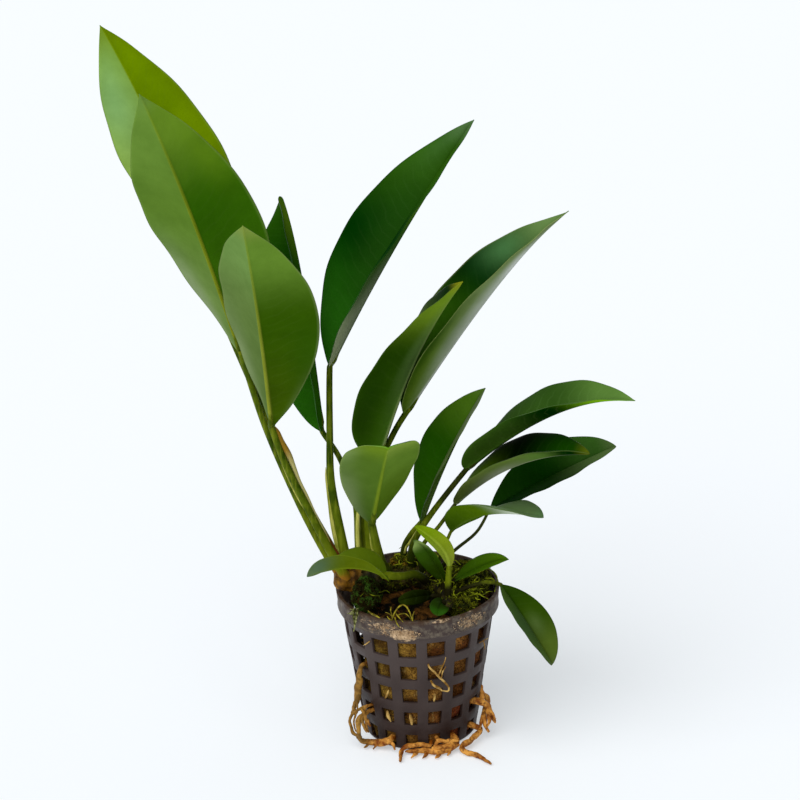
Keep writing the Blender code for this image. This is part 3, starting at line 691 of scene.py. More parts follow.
for title, knots in RHIZOME.items():
    route = smooth_route(knots, 0.35)
    length = 0.0
    for index, spot in enumerate(route):
        if index:
            length += (spot.xyz - route[index - 1].xyz).length
        spot.w *= 1.0 + RING_SWELL * math.cos(2 * math.pi * length / RING_PITCH)
    stem = roughened(rods(title, [route], 40, bark), BARK_LUMP, BARK_DEPTH, len(title))
    place(stem, "bare_" + title, [title])

# Roots grip the basket from outside. They come out of the fibre through holes low in the wall,
# bend round the struts and the foot, and end on the table in blunt pale tips and short fingers.
ROOTS = {
    "root_left_strand": [
        [(-15.6, -11.2, 27.8, 0.6), (-17.8, -12.9, 27.4, 0.7), (-18.4, -12.9, 24.4, 0.95),
         (-18.7, -12.9, 21.0, 1.1), (-19.3, -12.6, 16.8, 1.05), (-20.4, -12.1, 12.6, 0.65),
         (-21.4, -11.4, 10.4, 0.2)],
        [(-19.7, -12.8, 20.0, 0.4), (-19.6, -13.2, 16.0, 0.4), (-19.4, -13.6, 12.8, 0.2)]],
    "root_left_loop": [
        [(-13.6, -9.8, 13.0, 0.5), (-17.2, -12.8, 13.2, 0.5), (-19.2, -14.2, 13.0, 0.48),
         (-21.2, -14.3, 11.2, 0.48), (-21.8, -14.4, 8.6, 0.45), (-21.0, -14.6, 5.6, 0.5),
         (-19.2, -15.4, 4.0, 0.5), (-17.6, -15.8, 3.2, 0.4)],
        [(-19.4, -14.4, 12.6, 0.35), (-20.4, -14.9, 10.4, 0.32), (-20.6, -15.0, 8.0, 0.3),
         (-19.8, -15.2, 6.0, 0.2)]],
    "root_left_knot": [
        [(-13.4, -9.6, 11.0, 0.7), (-16.8, -12.8, 11.2, 0.7), (-18.8, -15.4, 10.8, 0.75),
         (-19.4, -16.2, 7.6, 0.75), (-18.6, -16.6, 4.4, 0.45), (-18.0, -16.6, 3.2, 0.25)],
        [(-17.0, -13.2, 11.2, 0.5), (-17.8, -15.6, 13.8, 0.5), (-17.0, -16.6, 12.2, 0.5),
         (-16.8, -16.4, 8.8, 0.45), (-16.2, -16.2, 6.2, 0.2)],
        [(-19.0, -15.8, 9.6, 0.6), (-19.8, -15.6, 8.2, 0.5), (-19.4, -15.8, 6.6, 0.3)],
        [(-18.0, -14.8, 11.2, 0.5), (-17.6, -16.9, 9.0, 0.5), (-16.6, -17.0, 6.8, 0.25)],
        [(-17.6, -14.0, 12.4, 0.55), (-16.9, -15.6, 14.6, 0.5), (-16.2, -15.9, 15.6, 0.3)],
        [(-17.2, -15.4, 10.6, 0.6), (-16.4, -16.6, 10.4, 0.55), (-15.6, -16.9, 8.8, 0.3)]],
    "root_foot_left": [
        [(-8.0, -12.9, 3.8, 0.95), (-9.9, -16.8, 3.5, 1.1), (-12.5, -15.8, 2.5, 1.15),
         (-15.4, -14.8, 2.0, 1.05), (-18.2, -14.0, 2.1, 0.75), (-20.0, -13.8, 3.4, 0.35)],
        [(-13.8, -15.2, 1.7, 0.5), (-14.9, -17.2, 1.0, 0.25)],
        [(-9.9, -16.6, 3.4, 0.6), (-8.6, -18.0, 2.2, 0.5), (-8.2, -18.6, 1.2, 0.25)],
        [(-16.2, -14.6, 1.5, 0.5), (-17.6, -16.4, 1.1, 0.25)]],
    "root_front_left": [
        [(2.8, -14.6, 3.1, 0.6), (2.8, -18.8, 3.0, 0.62), (0.1, -19.3, 3.2, 0.7),
         (-3.3, -19.2, 3.0, 0.75), (-5.7, -19.4, 2.2, 0.75), (-6.4, -21.2, 1.3, 0.65),
         (-6.7, -24.8, 0.8, 0.35)]],
    "root_front_middle": [
        [(7.6, -11.7, 3.6, 1.0), (10.4, -16.4, 3.4, 1.1), (9.6, -18.8, 2.2, 1.15),
         (7.4, -19.9, 1.6, 1.1), (4.4, -20.4, 1.5, 1.05), (0.6, -19.9, 1.45, 0.9),
         (-3.9, -19.6, 1.3, 0.65), (-5.0, -19.8, 1.2, 0.3)],
        [(-1.2, -19.6, 1.3, 0.62), (-2.2, -21.2, 1.0, 0.6), (-3.4, -22.9, 0.75, 0.22)],
        [(2.1, -19.8, 1.3, 0.62), (1.3, -21.4, 1.0, 0.6), (0.1, -23.2, 0.75, 0.22)],
        [(5.4, -20.2, 1.3, 0.7), (5.0, -22.0, 1.0, 0.65), (4.0, -23.6, 0.8, 0.25)],
        [(8.3, -19.4, 1.5, 0.6), (8.3, -21.0, 1.0, 0.55), (7.7, -22.1, 0.8, 0.22)],
        [(6.6, -19.9, 2.0, 0.8), (7.6, -19.1, 3.8, 0.8), (9.4, -19.1, 4.2, 0.65),
         (11.4, -18.4, 3.9, 0.3)],
        [(3.2, -20.0, 2.2, 0.6), (5.6, -20.4, 3.0, 0.7), (8.0, -20.2, 3.0, 0.7),
         (10.6, -19.4, 2.6, 0.5), (11.6, -18.8, 2.8, 0.3)]],
    "root_front_right": [
        [(4.5, -14.6, 4.5, 0.6), (4.9, -19.2, 4.6, 0.65), (7.2, -19.7, 4.3, 0.7),
         (9.2, -19.6, 3.6, 0.6), (10.4, -19.8, 2.6, 0.3)],
        [(5.0, -19.2, 4.6, 0.6), (4.2, -19.8, 3.2, 0.5), (3.6, -20.6, 2.2, 0.25)]],
    "root_right": [
        [(12.8, -7.9, 4.0, 0.85), (16.8, -10.4, 4.2, 0.9), (18.0, -11.8, 3.5, 0.9),
         (15.0, -16.2, 2.4, 0.9), (12.5, -18.7, 2.0, 0.9), (12.8, -20.6, 1.3, 0.85),
         (16.6, -22.6, 1.1, 0.8), (20.8, -27.7, 0.8, 0.35)]],
    "root_right_curl": [
        [(14.0, -8.7, 12.4, 1.0), (18.7, -9.9, 12.4, 1.05), (20.6, -9.2, 10.4, 1.1),
         (22.4, -9.5, 5.8, 0.6), (22.8, -9.7, 4.8, 0.3)],
        [(20.4, -9.4, 10.2, 0.8), (22.4, -10.9, 7.6, 0.55), (22.9, -11.3, 6.9, 0.3)],
        [(18.9, -9.6, 12.2, 0.8), (19.0, -8.6, 14.6, 0.65), (18.9, -7.8, 17.2, 0.25)],
        [(19.4, -9.9, 12.4, 0.6), (20.6, -10.2, 10.0, 0.6), (21.6, -10.6, 7.4, 0.35)],
        [(20.6, -9.8, 9.8, 0.8), (21.0, -11.2, 7.0, 0.7), (20.4, -11.8, 4.8, 0.3)]],
    "root_right_knot": [
        [(16.4, -2.7, 11.6, 0.85), (20.6, -4.2, 10.8, 0.9), (19.8, -7.8, 8.0, 0.9),
         (19.4, -10.8, 6.0, 0.8), (20.8, -12.4, 3.2, 0.4)],
        [(19.6, -8.6, 7.6, 0.6), (18.4, -11.6, 6.4, 0.55), (18.0, -12.6, 4.4, 0.25)]],
}
SWELLING = 0.22
WANDER = 0.3
SKIN_LUMP = 0.9
SKIN_DEPTH = 0.12


def knobbly(route, seed):
    """Give a root swellings and thin places, and a slight wander."""
    for index, spot in enumerate(route):
        spot.w *= 1.0 + SWELLING * noise.noise(spot.xyz * 0.55)
        if 1 < index < len(route) - 1:
            sway = noise.noise_vector(spot.xyz * 0.45 + Vector((seed, 0, 0))) * WANDER
            spot.x += sway.x
            spot.y += sway.y
            spot.z = max(spot.z + sway.z, spot.w * 0.9)
    return route


root_skin, tree, shader = new_material("root_skin", 0.5, 0.12)
root_colour = two_toned(tree, 2.6, 4.0, 0.38, 0.62, (130, 68, 10), (218, 154, 68))
dark_bits = ranged(tree, grain(tree, 1.1, 4.0), 0.5, 0.62)
root_colour = mixed(tree, times(tree, dark_bits, 0.7), root_colour, shade(84, 34, 4))
position = place_on_piece(tree)
old_root = times(tree, ranged(tree, position["X"], -14 * MM, -18 * MM), 0.55)
root_colour = mixed(tree, old_root, root_colour, shade(104, 92, 40))
paint(tree, shader, root_colour)
raised(tree, shader, grain(tree, 0.45, 5.0), 0.2)

for number, (title, strands) in enumerate(ROOTS.items()):
    routes = [knobbly(smooth_route(knots, 0.4), number * 5.0) for knots in strands]
    root = roughened(rods(title, routes, 12, root_skin), SKIN_LUMP, SKIN_DEPTH, number)
    place(root, "bare_" + title, [title])

# A tuft of thin yellow root hairs grows out of the fibre in front. The hairs stand up, bend over
# and hang down across the basket's rim.
RIM_HAIRS = [
    [(-8.2, -22.0, 46.4, 0.20), (-7.9, -23.8, 48.6, 0.22), (-7.2, -23.6, 50.4, 0.22),
     (-5.9, -23.2, 52.2, 0.24), (-4.6, -23.4, 53.0, 0.24), (-3.6, -23.9, 52.6, 0.24),
     (-2.8, -24.2, 51.2, 0.22), (-2.2, -24.5, 49.4, 0.21), (-1.8, -24.8, 48.2, 0.10)],
    [(-8.0, -21.0, 46.6, 0.18), (-7.8, -23.6, 48.4, 0.19), (-8.0, -23.4, 49.8, 0.19),
     (-8.3, -23.0, 51.0, 0.18), (-8.1, -22.6, 52.1, 0.08)],
    [(-8.0, -23.4, 49.4, 0.16), (-8.8, -23.0, 50.0, 0.16), (-9.9, -22.8, 50.4, 0.08)],
    [(-8.2, -24.0, 48.2, 0.16), (-8.9, -23.4, 48.5, 0.18), (-9.4, -23.0, 49.2, 0.08)],
    [(-7.2, -22.6, 50.6, 0.18), (-6.6, -23.4, 49.9, 0.19), (-5.9, -24.2, 49.3, 0.19),
     (-4.7, -25.4, 48.3, 0.10)],
    [(-6.2, -22.8, 49.2, 0.16), (-5.2, -23.2, 49.9, 0.18), (-3.9, -23.6, 50.1, 0.18),
     (-2.9, -24.1, 49.4, 0.16), (-2.1, -24.6, 48.3, 0.08)],
    [(-1.3, -23.2, 50.6, 0.08), (-1.8, -23.8, 49.5, 0.16), (-1.8, -24.4, 48.4, 0.10)],
    [(-7.1, -23.6, 49.0, 0.18), (-6.8, -25.3, 48.5, 0.19), (-6.3, -25.7, 47.6, 0.18),
     (-5.8, -25.6, 46.7, 0.08)],
    [(-15.0, -22.6, 51.0, 0.15), (-14.0, -23.2, 50.2, 0.3), (-13.0, -23.6, 49.9, 0.35),
     (-11.6, -24.4, 49.4, 0.15)],
]

hair_skin, tree, shader = new_material("root_hair", 0.6, 0.15)
paint(tree, shader, two_toned(tree, 1.4, 3.0, 0.4, 0.6, (84, 74, 4), (160, 146, 34)))
hair_routes = [smooth_route(knots, 0.4) for knots in RIM_HAIRS]
hairs = rods("hairs", hair_routes, 7, hair_skin)
place(hairs, "hairs_over_rim", ["root_over_rim"])

# Pale dead threads of coconut fibre have worked loose from the plug. They lie on the wall over
# its holes, with their ends caught inside.
LOOSE_THREADS = [
    [(2.5, -21.0, 32.2, 0.3), (2.8, -23.1, 31.8, 0.32), (4.2, -23.0, 30.2, 0.34),
     (5.6, -22.9, 28.4, 0.36), (7.3, -22.3, 26.2, 0.34), (8.6, -21.7, 23.9, 0.3),
     (8.2, -21.8, 22.8, 0.26), (6.6, -22.0, 23.2, 0.14)],
    [(5.4, -22.9, 28.6, 0.2), (6.2, -22.8, 30.4, 0.24), (7.4, -22.6, 33.2, 0.2),
     (7.8, -22.7, 34.8, 0.1)],
    [(6.4, -22.7, 28.0, 0.18), (6.8, -22.8, 30.0, 0.2), (7.8, -22.5, 31.6, 0.1)],
    [(3.2, -20.8, 26.0, 0.3), (4.0, -22.6, 25.4, 0.4), (5.6, -22.2, 24.2, 0.4),
     (6.6, -21.9, 23.0, 0.2)],
    [(-16.6, -16.0, 36.2, 0.16), (-16.0, -17.0, 37.0, 0.2), (-14.8, -17.9, 38.4, 0.16)],
    [(18.2, -13.6, 34.6, 0.12), (19.6, -12.6, 34.9, 0.18), (21.0, -10.6, 34.6, 0.12)],
    [(19.4, -12.9, 35.0, 0.12), (19.8, -12.4, 33.4, 0.2), (19.9, -11.9, 31.4, 0.1)],
    [(-10.8, -15.9, 17.6, 0.2), (-10.2, -16.9, 19.4, 0.4), (-9.6, -17.2, 21.2, 0.2)],
    [(-10.2, -15.4, 13.2, 0.3), (-10.0, -15.9, 11.6, 0.55), (-9.2, -15.9, 9.6, 0.2)],
    [(-3.4, -17.4, 13.2, 0.3), (-3.0, -18.2, 11.4, 0.6), (-2.8, -17.9, 9.2, 0.25)],
    [(4.0, -18.4, 21.6, 0.2), (4.2, -19.4, 19.8, 0.4), (4.0, -19.0, 18.0, 0.2)],
]

thread_skin, tree, shader = new_material("pale_thread", 0.65, 0.2)
paint(tree, shader, two_toned(tree, 2.6, 3.0, 0.42, 0.6, (122, 84, 22), (200, 164, 92)))
thread_routes = [smooth_route(knots, 0.5) for knots in LOOSE_THREADS]
threads = rods("threads", thread_routes, 7, thread_skin)
place(threads, "loose_threads", [])

# Twenty leaves rise from the rhizome, each on its own round fleshy stalk that is thicker at its
# foot and runs on as the midrib under the blade.
LEAVES = {
    # Neck, middle and tip are places on the midrib. The upper face is turned about the midrib by
    # turn degrees from facing the front, and by twist more at the tip. The blade is widest at
    # belly and fold lifts each half. Thick is the stalk's radius at its foot and at its neck.
    "left_back": dict(
        neck=(-53.5, 3.0, 130.0), middle=(-66.0, -3.0, 180.0), tip=(-83.5, -12.0, 226.5),
        turn=153, twist=53, width=34.0, belly=0.49, fullness=2.0, fold=33,
        stalk=[(-22.0, 2.0, 51.5), (-26.5, 4.0, 60.0), (-33.6, 4.5, 75.5), (-43.6, 4.0, 102.0)],
        thick=(1.4, 0.9)),
    "left_tall": dict(
        neck=(-50.0, -2.0, 125.0), middle=(-61.5, -14.0, 172.5), tip=(-72.5, -26.0, 210.5),
        turn=149, twist=54, width=38.0, belly=0.38, fullness=1.8, fold=32,
        stalk=[(-23.0, -0.8, 52.0), (-28.8, 0.5, 62.0), (-35.9, 1.0, 78.0), (-44.2, -0.6, 102.0)],
        thick=(1.4, 0.9)),
    "left_front": dict(
        neck=(-42.0, -4.0, 102.5), middle=(-43.0, -26.0, 143.5), tip=(-45.0, -44.0, 178.0),
        turn=151, twist=8, width=34.0, belly=0.50, fullness=2.1, fold=26,
        stalk=[(-21.5, -4.0, 52.5), (-27.0, -3.4, 63.5), (-33.0, -2.7, 77.0), (-38.7, -3.2, 91.0)],
        thick=(1.4, 1.0)),
    "dark_left": dict(
        neck=(-27.6, 6.5, 97.0), middle=(-32.3, 16.0, 141.0), tip=(-38.0, 32.0, 163.0),
        turn=-58, twist=2, width=32.0, belly=0.42, fullness=1.4, fold=34,
        stalk=[(-17.5, 0.5, 52.5), (-17.8, 3.0, 62.0), (-18.4, 5.0, 75.0), (-22.6, 6.5, 88.0)],
        thick=(1.2, 0.8)),
    "dark_tall": dict(
        neck=(-24.5, 4.0, 118.5), middle=(-4.9, 10.0, 152.5), tip=(20.0, 24.0, 187.5),
        turn=-79, twist=20, width=35.2, belly=0.45, fullness=1.7, fold=34,
        stalk=[(-21.0, -0.5, 53.5), (-22.8, 0.6, 64.5), (-25.3, 2.4, 82.0), (-25.2, 3.2, 98.0)],
        thick=(1.5, 0.9)),
    "dark_right": dict(
        neck=(-2.5, 4.0, 102.8), middle=(26.2, 12.0, 140.8), tip=(47.6, 20.0, 160.0),
        turn=-92, twist=20, width=33.0, belly=0.29, fullness=2.1, fold=35,
        stalk=[(-14.0, 2.5, 51.5), (-16.2, 6.0, 66.0), (-13.2, 6.5, 80.5), (-6.5, 5.0, 95.5)],
        thick=(1.3, 0.9)),
    "olive_middle": dict(
        neck=(-10.7, 1.0, 90.0), middle=(1.4, -2.5, 123.8), tip=(15.0, -8.0, 148.3),
        turn=-122, twist=25, width=32.0, belly=0.34, fullness=1.5, fold=30,
        stalk=[(-13.3, 0.0, 52.0), (-14.6, 2.2, 64.0), (-14.4, 2.2, 78.0)],
        thick=(1.3, 0.9)),
    "front_heart": dict(
        neck=(-13.3, -8.0, 72.5), middle=(-9.3, -26.0, 98.2), tip=(-7.6, -34.0, 107.8),
        turn=200, twist=-5, width=25.0, belly=0.48, fullness=1.6, fold=18,
        stalk=[(-8.5, -3.2, 52.5), (-11.0, -6.4, 60.0)],
        thick=(1.6, 1.2)),
    "middle_right": dict(
        neck=(1.6, 0.0, 69.0), middle=(10.9, 2.0, 91.0), tip=(21.7, 6.0, 109.8),
        turn=-79, twist=13, width=22.8, belly=0.45, fullness=1.7, fold=29,
        stalk=[(-4.0, 4.6, 52.0), (-3.8, 3.4, 59.0), (-1.6, 1.2, 64.6)],
        thick=(1.1, 0.8)),
    "arching_right": dict(
        neck=(15.3, -2.0, 86.8), middle=(41.4, -8.0, 106.7), tip=(64.5, -14.0, 112.4),
        turn=-116, twist=38, width=25.5, belly=0.34, fullness=1.6, fold=28,
        stalk=[(-1.6, 0.8, 53.0), (-1.2, -1.8, 62.2), (4.3, -2.6, 72.4)],
        thick=(1.1, 0.8)),
    "low_right": dict(
        neck=(11.8, -6.0, 77.4), middle=(30.1, -12.5, 92.6), tip=(51.0, -18.0, 97.7),
        turn=-106, twist=11, width=25.0, belly=0.48, fullness=1.5, fold=24,
        stalk=[(1.6, -1.6, 52.5), (1.4, -4.8, 62.6), (6.8, -5.4, 70.0)],
        thick=(0.8, 0.55)),
    "far_right": dict(
        neck=(22.4, 5.0, 70.1), middle=(40.2, 9.0, 78.3), tip=(61.6, 12.0, 87.2),
        turn=-74, twist=-5, width=23.2, belly=0.58, fullness=1.7, fold=23,
        stalk=[(6.0, 0.2, 50.5), (10.2, 2.0, 57.0), (18.3, 4.2, 63.2)],
        thick=(0.6, 0.45)),
    "curled_right": dict(
        neck=(10.3, -8.0, 69.3), middle=(20.8, -15.0, 78.1), tip=(37.3, -21.0, 79.1),
        turn=-149, twist=55, width=27.4, belly=0.59, fullness=1.8, fold=11,
        stalk=[(4.4, -4.6, 51.5), (7.2, -7.0, 61.0)],
        thick=(0.65, 0.5)),
    "new_bright": dict(
        neck=(9.4, -14.0, 60.2), middle=(7.2, -17.5, 68.7), tip=(-0.6, -21.0, 77.4),
        turn=173, twist=5, width=6.5, belly=0.50, fullness=1.4, fold=34,
        stalk=[(8.8, -13.8, 50.2)],
        thick=(0.9, 0.8)),
    "new_dark": dict(
        neck=(8.0, -9.4, 53.5), middle=(2.9, -9.8, 64.5), tip=(-1.0, -11.0, 68.0),
        turn=-26, twist=-12, width=8.5, belly=0.43, fullness=1.5, fold=26,
        stalk=[(7.6, -9.6, 49.6)],
        thick=(0.9, 0.8)),
    "low_left": dict(
        neck=(-9.4, -16.0, 59.2), middle=(-20.0, -22.5, 65.5), tip=(-32.6, -25.0, 63.8),
        turn=74, twist=75, width=17.3, belly=0.42, fullness=1.3, fold=21,
        stalk=[(2.2, -7.2, 53.0), (-0.6, -11.0, 57.0), (-4.6, -14.2, 58.0)],
        thick=(1.2, 1.2)),
    "rim_right": dict(
        neck=(11.2, -8.0, 53.0), middle=(20.7, -8.0, 58.2), tip=(27.6, -8.0, 59.6),
        turn=-60, twist=3, width=6.5, belly=0.44, fullness=1.7, fold=31,
        stalk=[(9.0, -6.6, 49.8)],
        thick=(0.9, 0.8)),
    "hanging_right": dict(
        neck=(24.8, -13.5, 54.0), middle=(32.0, -20.0, 44.6), tip=(39.6, -22.5, 31.2),
        turn=-39, twist=-19, width=14.2, belly=0.58, fullness=1.5, fold=34,
        stalk=[(9.6, -11.0, 49.6), (14.6, -12.6, 52.8), (20.4, -13.3, 54.8)],
        thick=(0.65, 0.6)),
    "small_front": dict(
        neck=(4.2, -14.4, 51.4), middle=(-1.0, -16.2, 52.0), tip=(-6.0, -17.8, 51.4),
        turn=10, twist=0, width=4.8, belly=0.50, fullness=1.0, fold=15,
        stalk=[(7.6, -12.6, 49.8)],
        thick=(0.8, 0.7)),
    "rim_bud": dict(
        neck=(6.9, -18.2, 51.1), middle=(6.2, -20.6, 50.6), tip=(5.6, -22.6, 48.6),
        turn=10, twist=0, width=6.0, belly=0.55, fullness=1.2, fold=15,
        stalk=[(8.3, -16.6, 49.2)],
        thick=(0.8, 0.7)),
}
FLARE = 0.22
FLARE_REACH = 0.22
# How the stalk thins as it runs on under the blade: share of the midrib and of the neck's radius.
RIB_TAPER = ((0.025, 0.85), (0.06, 0.62), (0.11, 0.42), (0.18, 0.22))
RIB_SINK = 0.45
# Where moss and shade darken the stalks. Each zone has its limits, as axis, start, full and
# strength, and its colour.
STALK_ZONES = [
    ([("X", -9, -3, 1.0), ("X", 7, 5, 0.8), ("Z", 65, 57, 1.0)], (20, 32, 0)),
    ([("X", -13, -9.5, 0.8), ("Y", -10, -8, 1.0), ("Z", 68, 60, 1.0)], (40, 52, 6)),
    ([("X", 7, 8.5, 0.7), ("Y", -8, -6.6, 1.0)], (44, 48, 20)),
    ([("X", 12.5, 15, 0.6), ("X", 20, 18, 1.0), ("Z", 60, 57, 1.0)], (16, 30, 2)),
]


def midrib_point(leaf, s):
    neck, middle, tip = (Vector(leaf[key]) for key in ("neck", "middle", "tip"))
    return (2 * (s - 0.5) * (s - 1)) * neck + (4 * s * (1 - s)) * middle + (2 * s * (s - 0.5)) * tip


def midrib_frame(leaf, s):
    """Place, direction, upper side and sideways direction of the blade at share s of its length."""
    neck, middle, tip = (Vector(leaf[key]) for key in ("neck", "middle", "tip"))
    along = ((4 * s - 3) * neck + (4 - 8 * s) * middle + (4 * s - 1) * tip).normalized()
    front = Vector((0.0, -1.0, 0.0))
    facing = (front - along * front.dot(along)).normalized()
    beside = along.cross(facing)
    turn = math.radians(leaf["turn"] + leaf["twist"] * s)
    upper = facing * math.cos(turn) + beside * math.sin(turn)
    return midrib_point(leaf, s), along, upper, along.cross(upper)


def stalk_route(leaf):
    """Knots of the stalk from inside the rhizome up to the neck and on into the midrib."""
    foot_radius, neck_radius = leaf["thick"]
    knots = [Vector(spot) for spot in leaf["stalk"]] + [Vector(leaf["neck"])]
    lengths = [0.0]
    for start, stop in zip(knots, knots[1:]):
        lengths.append(lengths[-1] + (stop - start).length)
    full = lengths[-1]
    route = []
    for spot, length in zip(knots, lengths):
        share = length / full
        radius = foot_radius + (neck_radius - foot_radius) * min(1.0, share * 1.15)
        if share < FLARE_REACH:
            radius *= 1.0 + FLARE * (1 - share / FLARE_REACH)
        route.append((*spot, radius))
    for s, share in RIB_TAPER:
        place_on_rib, along, upper, beside = midrib_frame(leaf, s)
        spot = place_on_rib - upper * neck_radius * RIB_SINK * share
        route.append((*spot, neck_radius * share))
    return route


stalk_skin, tree, shader = new_material("stalk", 0.55, 0.04)
position = place_on_piece(tree)
stalk_colour = two_toned(tree, 5.0, 3.0, 0.38, 0.62, (50, 72, 4), (88, 106, 12))
streaks = ranged(tree, grain(tree, 0.9, 3.0, stretch=(1.0, 1.0, 0.06)), 0.5, 0.62, 0.0, 0.5)
stalk_colour = mixed(tree, streaks, stalk_colour, shade(128, 138, 34))
low_down = ranged(tree, position["Z"], 80 * MM, 56 * MM, 0.0, 0.5)
stalk_colour = mixed(tree, low_down, stalk_colour, shade(116, 124, 10))
for limits, colour in STALK_ZONES:
    zone = 1.0
    for axis, start, full, strength in limits:
        inside = ranged(tree, position[axis], start * MM, full * MM, 0.0, strength)
        zone = times(tree, zone, inside)
    stalk_colour = mixed(tree, zone, stalk_colour, shade(*colour))
foot_colour = mixed(tree, ranged(tree, position["X"], -14 * MM, -8 * MM),
                    shade(140, 96, 24), shade(28, 26, 6))
uneven = maths(tree, "ADD", position["Z"], times(tree, grain(tree, 2.0), 4 * MM))
in_bark = ranged(tree, uneven, 58.5 * MM, 55.5 * MM)
stalk_colour = mixed(tree, in_bark, stalk_colour, foot_colour)
paint(tree, shader, stalk_colour)
raised(tree, shader, grain(tree, 1.2, 3.0, stretch=(1.0, 1.0, 0.2)), 0.1)

for title, leaf in LEAVES.items():
    petiole = rods(title, [smooth_route(stalk_route(leaf), 0.8)], 20, stalk_skin)
    place(petiole, "petiole_" + title, ["stalk_" + title])

# The foot of an older stalk keeps the thin sheath that once wrapped the next leaf. It runs down
# one edge of the stalk as a pale strip that widens to the rhizome and dries to brown in places.
SHEATHS = {
    "dark_tall": [(-26.8, 3.4, 86.4, 0.1), (-26.8, 3.2, 83.5, 0.32), (-26.4, 3.0, 79.9, 0.55),
                  (-25.9, 2.6, 75.7, 0.75), (-25.4, 2.2, 71.4, 0.95), (-25.0, 1.8, 67.9, 1.0),
                  (-24.4, 1.2, 64.4, 1.05), (-23.7, 0.6, 61.0, 1.0), (-22.8, 0.2, 57.6, 0.8)],
    "dark_left": [(-17.4, 3.2, 74.4, 0.15), (-17.5, 3.0, 71.6, 0.5), (-17.7, 2.6, 69.1, 0.6),
                  (-17.8, 2.2, 65.3, 0.65), (-17.8, 2.0, 60.7, 0.7), (-17.6, 1.6, 57.2, 0.6)],
    "front_heart": [(-13.6, -7.2, 72.4, 0.1), (-13.7, -6.9, 69.4, 0.4), (-13.6, -6.4, 66.5, 0.5),
                    (-13.3, -5.9, 63.6, 0.5), (-12.2, -5.0, 60.5, 0.3)],
    "middle_right": [(2.8, -2.6, 71.0, 0.1), (1.5, -1.8, 68.6, 0.4), (0.4, -1.2, 66.8, 0.45),
                     (-1.1, -0.6, 64.2, 0.4), (-2.3, 0.2, 61.9, 0.4), (-3.2, 1.0, 60.2, 0.4),
                     (-3.7, 1.8, 58.0, 0.3)],
    "left_tall": [(-41.2, -2.6, 95.7, 0.1), (-39.1, -2.4, 89.0, 0.25), (-37.0, -2.2, 83.0, 0.3),
                  (-34.5, -2.2, 77.6, 0.4), (-31.9, -2.4, 73.2, 0.5), (-29.4, -2.6, 69.1, 0.5),
                  (-27.3, -2.8, 66.1, 0.45), (-25.9, -3.0, 63.2, 0.4), (-24.5, -3.0, 60.6, 0.3)],
    "left_front": [(-41.4, -2.8, 102.8, 0.2), (-40.6, -2.8, 100.9, 0.8), (-39.6, -2.7, 97.9, 0.95),
                   (-37.6, -2.5, 93.6, 0.95), (-36.2, -2.3, 89.4, 0.7), (-34.7, -2.2, 84.6, 0.55),
                   (-32.7, -2.0, 79.7, 0.5), (-30.9, -2.0, 74.9, 0.45), (-29.2, -2.2, 70.9, 0.4),
                   (-27.2, -2.4, 66.5, 0.5), (-25.5, -2.6, 62.8, 0.65), (-24.2, -2.8, 60.5, 0.7),
                   (-23.1, -2.8, 58.0, 0.5)],
}
DRY_SHEATHS = ("left_front",)

sheath_skin, tree, shader = new_material("sheath", 0.6, 0.05)
paint(tree, shader, two_toned(tree, 1.2, 3.0, 0.4, 0.6, (130, 138, 36), (196, 194, 96),
                              stretch=(1.0, 1.0, 0.1)))

dry_skin, tree, shader = new_material("dry_sheath", 0.65, 0.05)
along = node(tree, "ShaderNodeAttribute", attribute_name="along").outputs["Fac"]
dry_colour = mixed(tree, ranged(tree, along, 8 * MM, 13 * MM), shade(150, 116, 34),
                   shade(186, 178, 112))
dry_colour = mixed(tree, ranged(tree, along, 36 * MM, 41 * MM), dry_colour, shade(92, 48, 14))
paint(tree, shader, dry_colour)

for title, knots in SHEATHS.items():
    finish = dry_skin if title in DRY_SHEATHS else sheath_skin
    sheath = rods(title, [smooth_route(knots, 0.6)], 12, finish)
    place(sheath, "sheath_" + title, [])
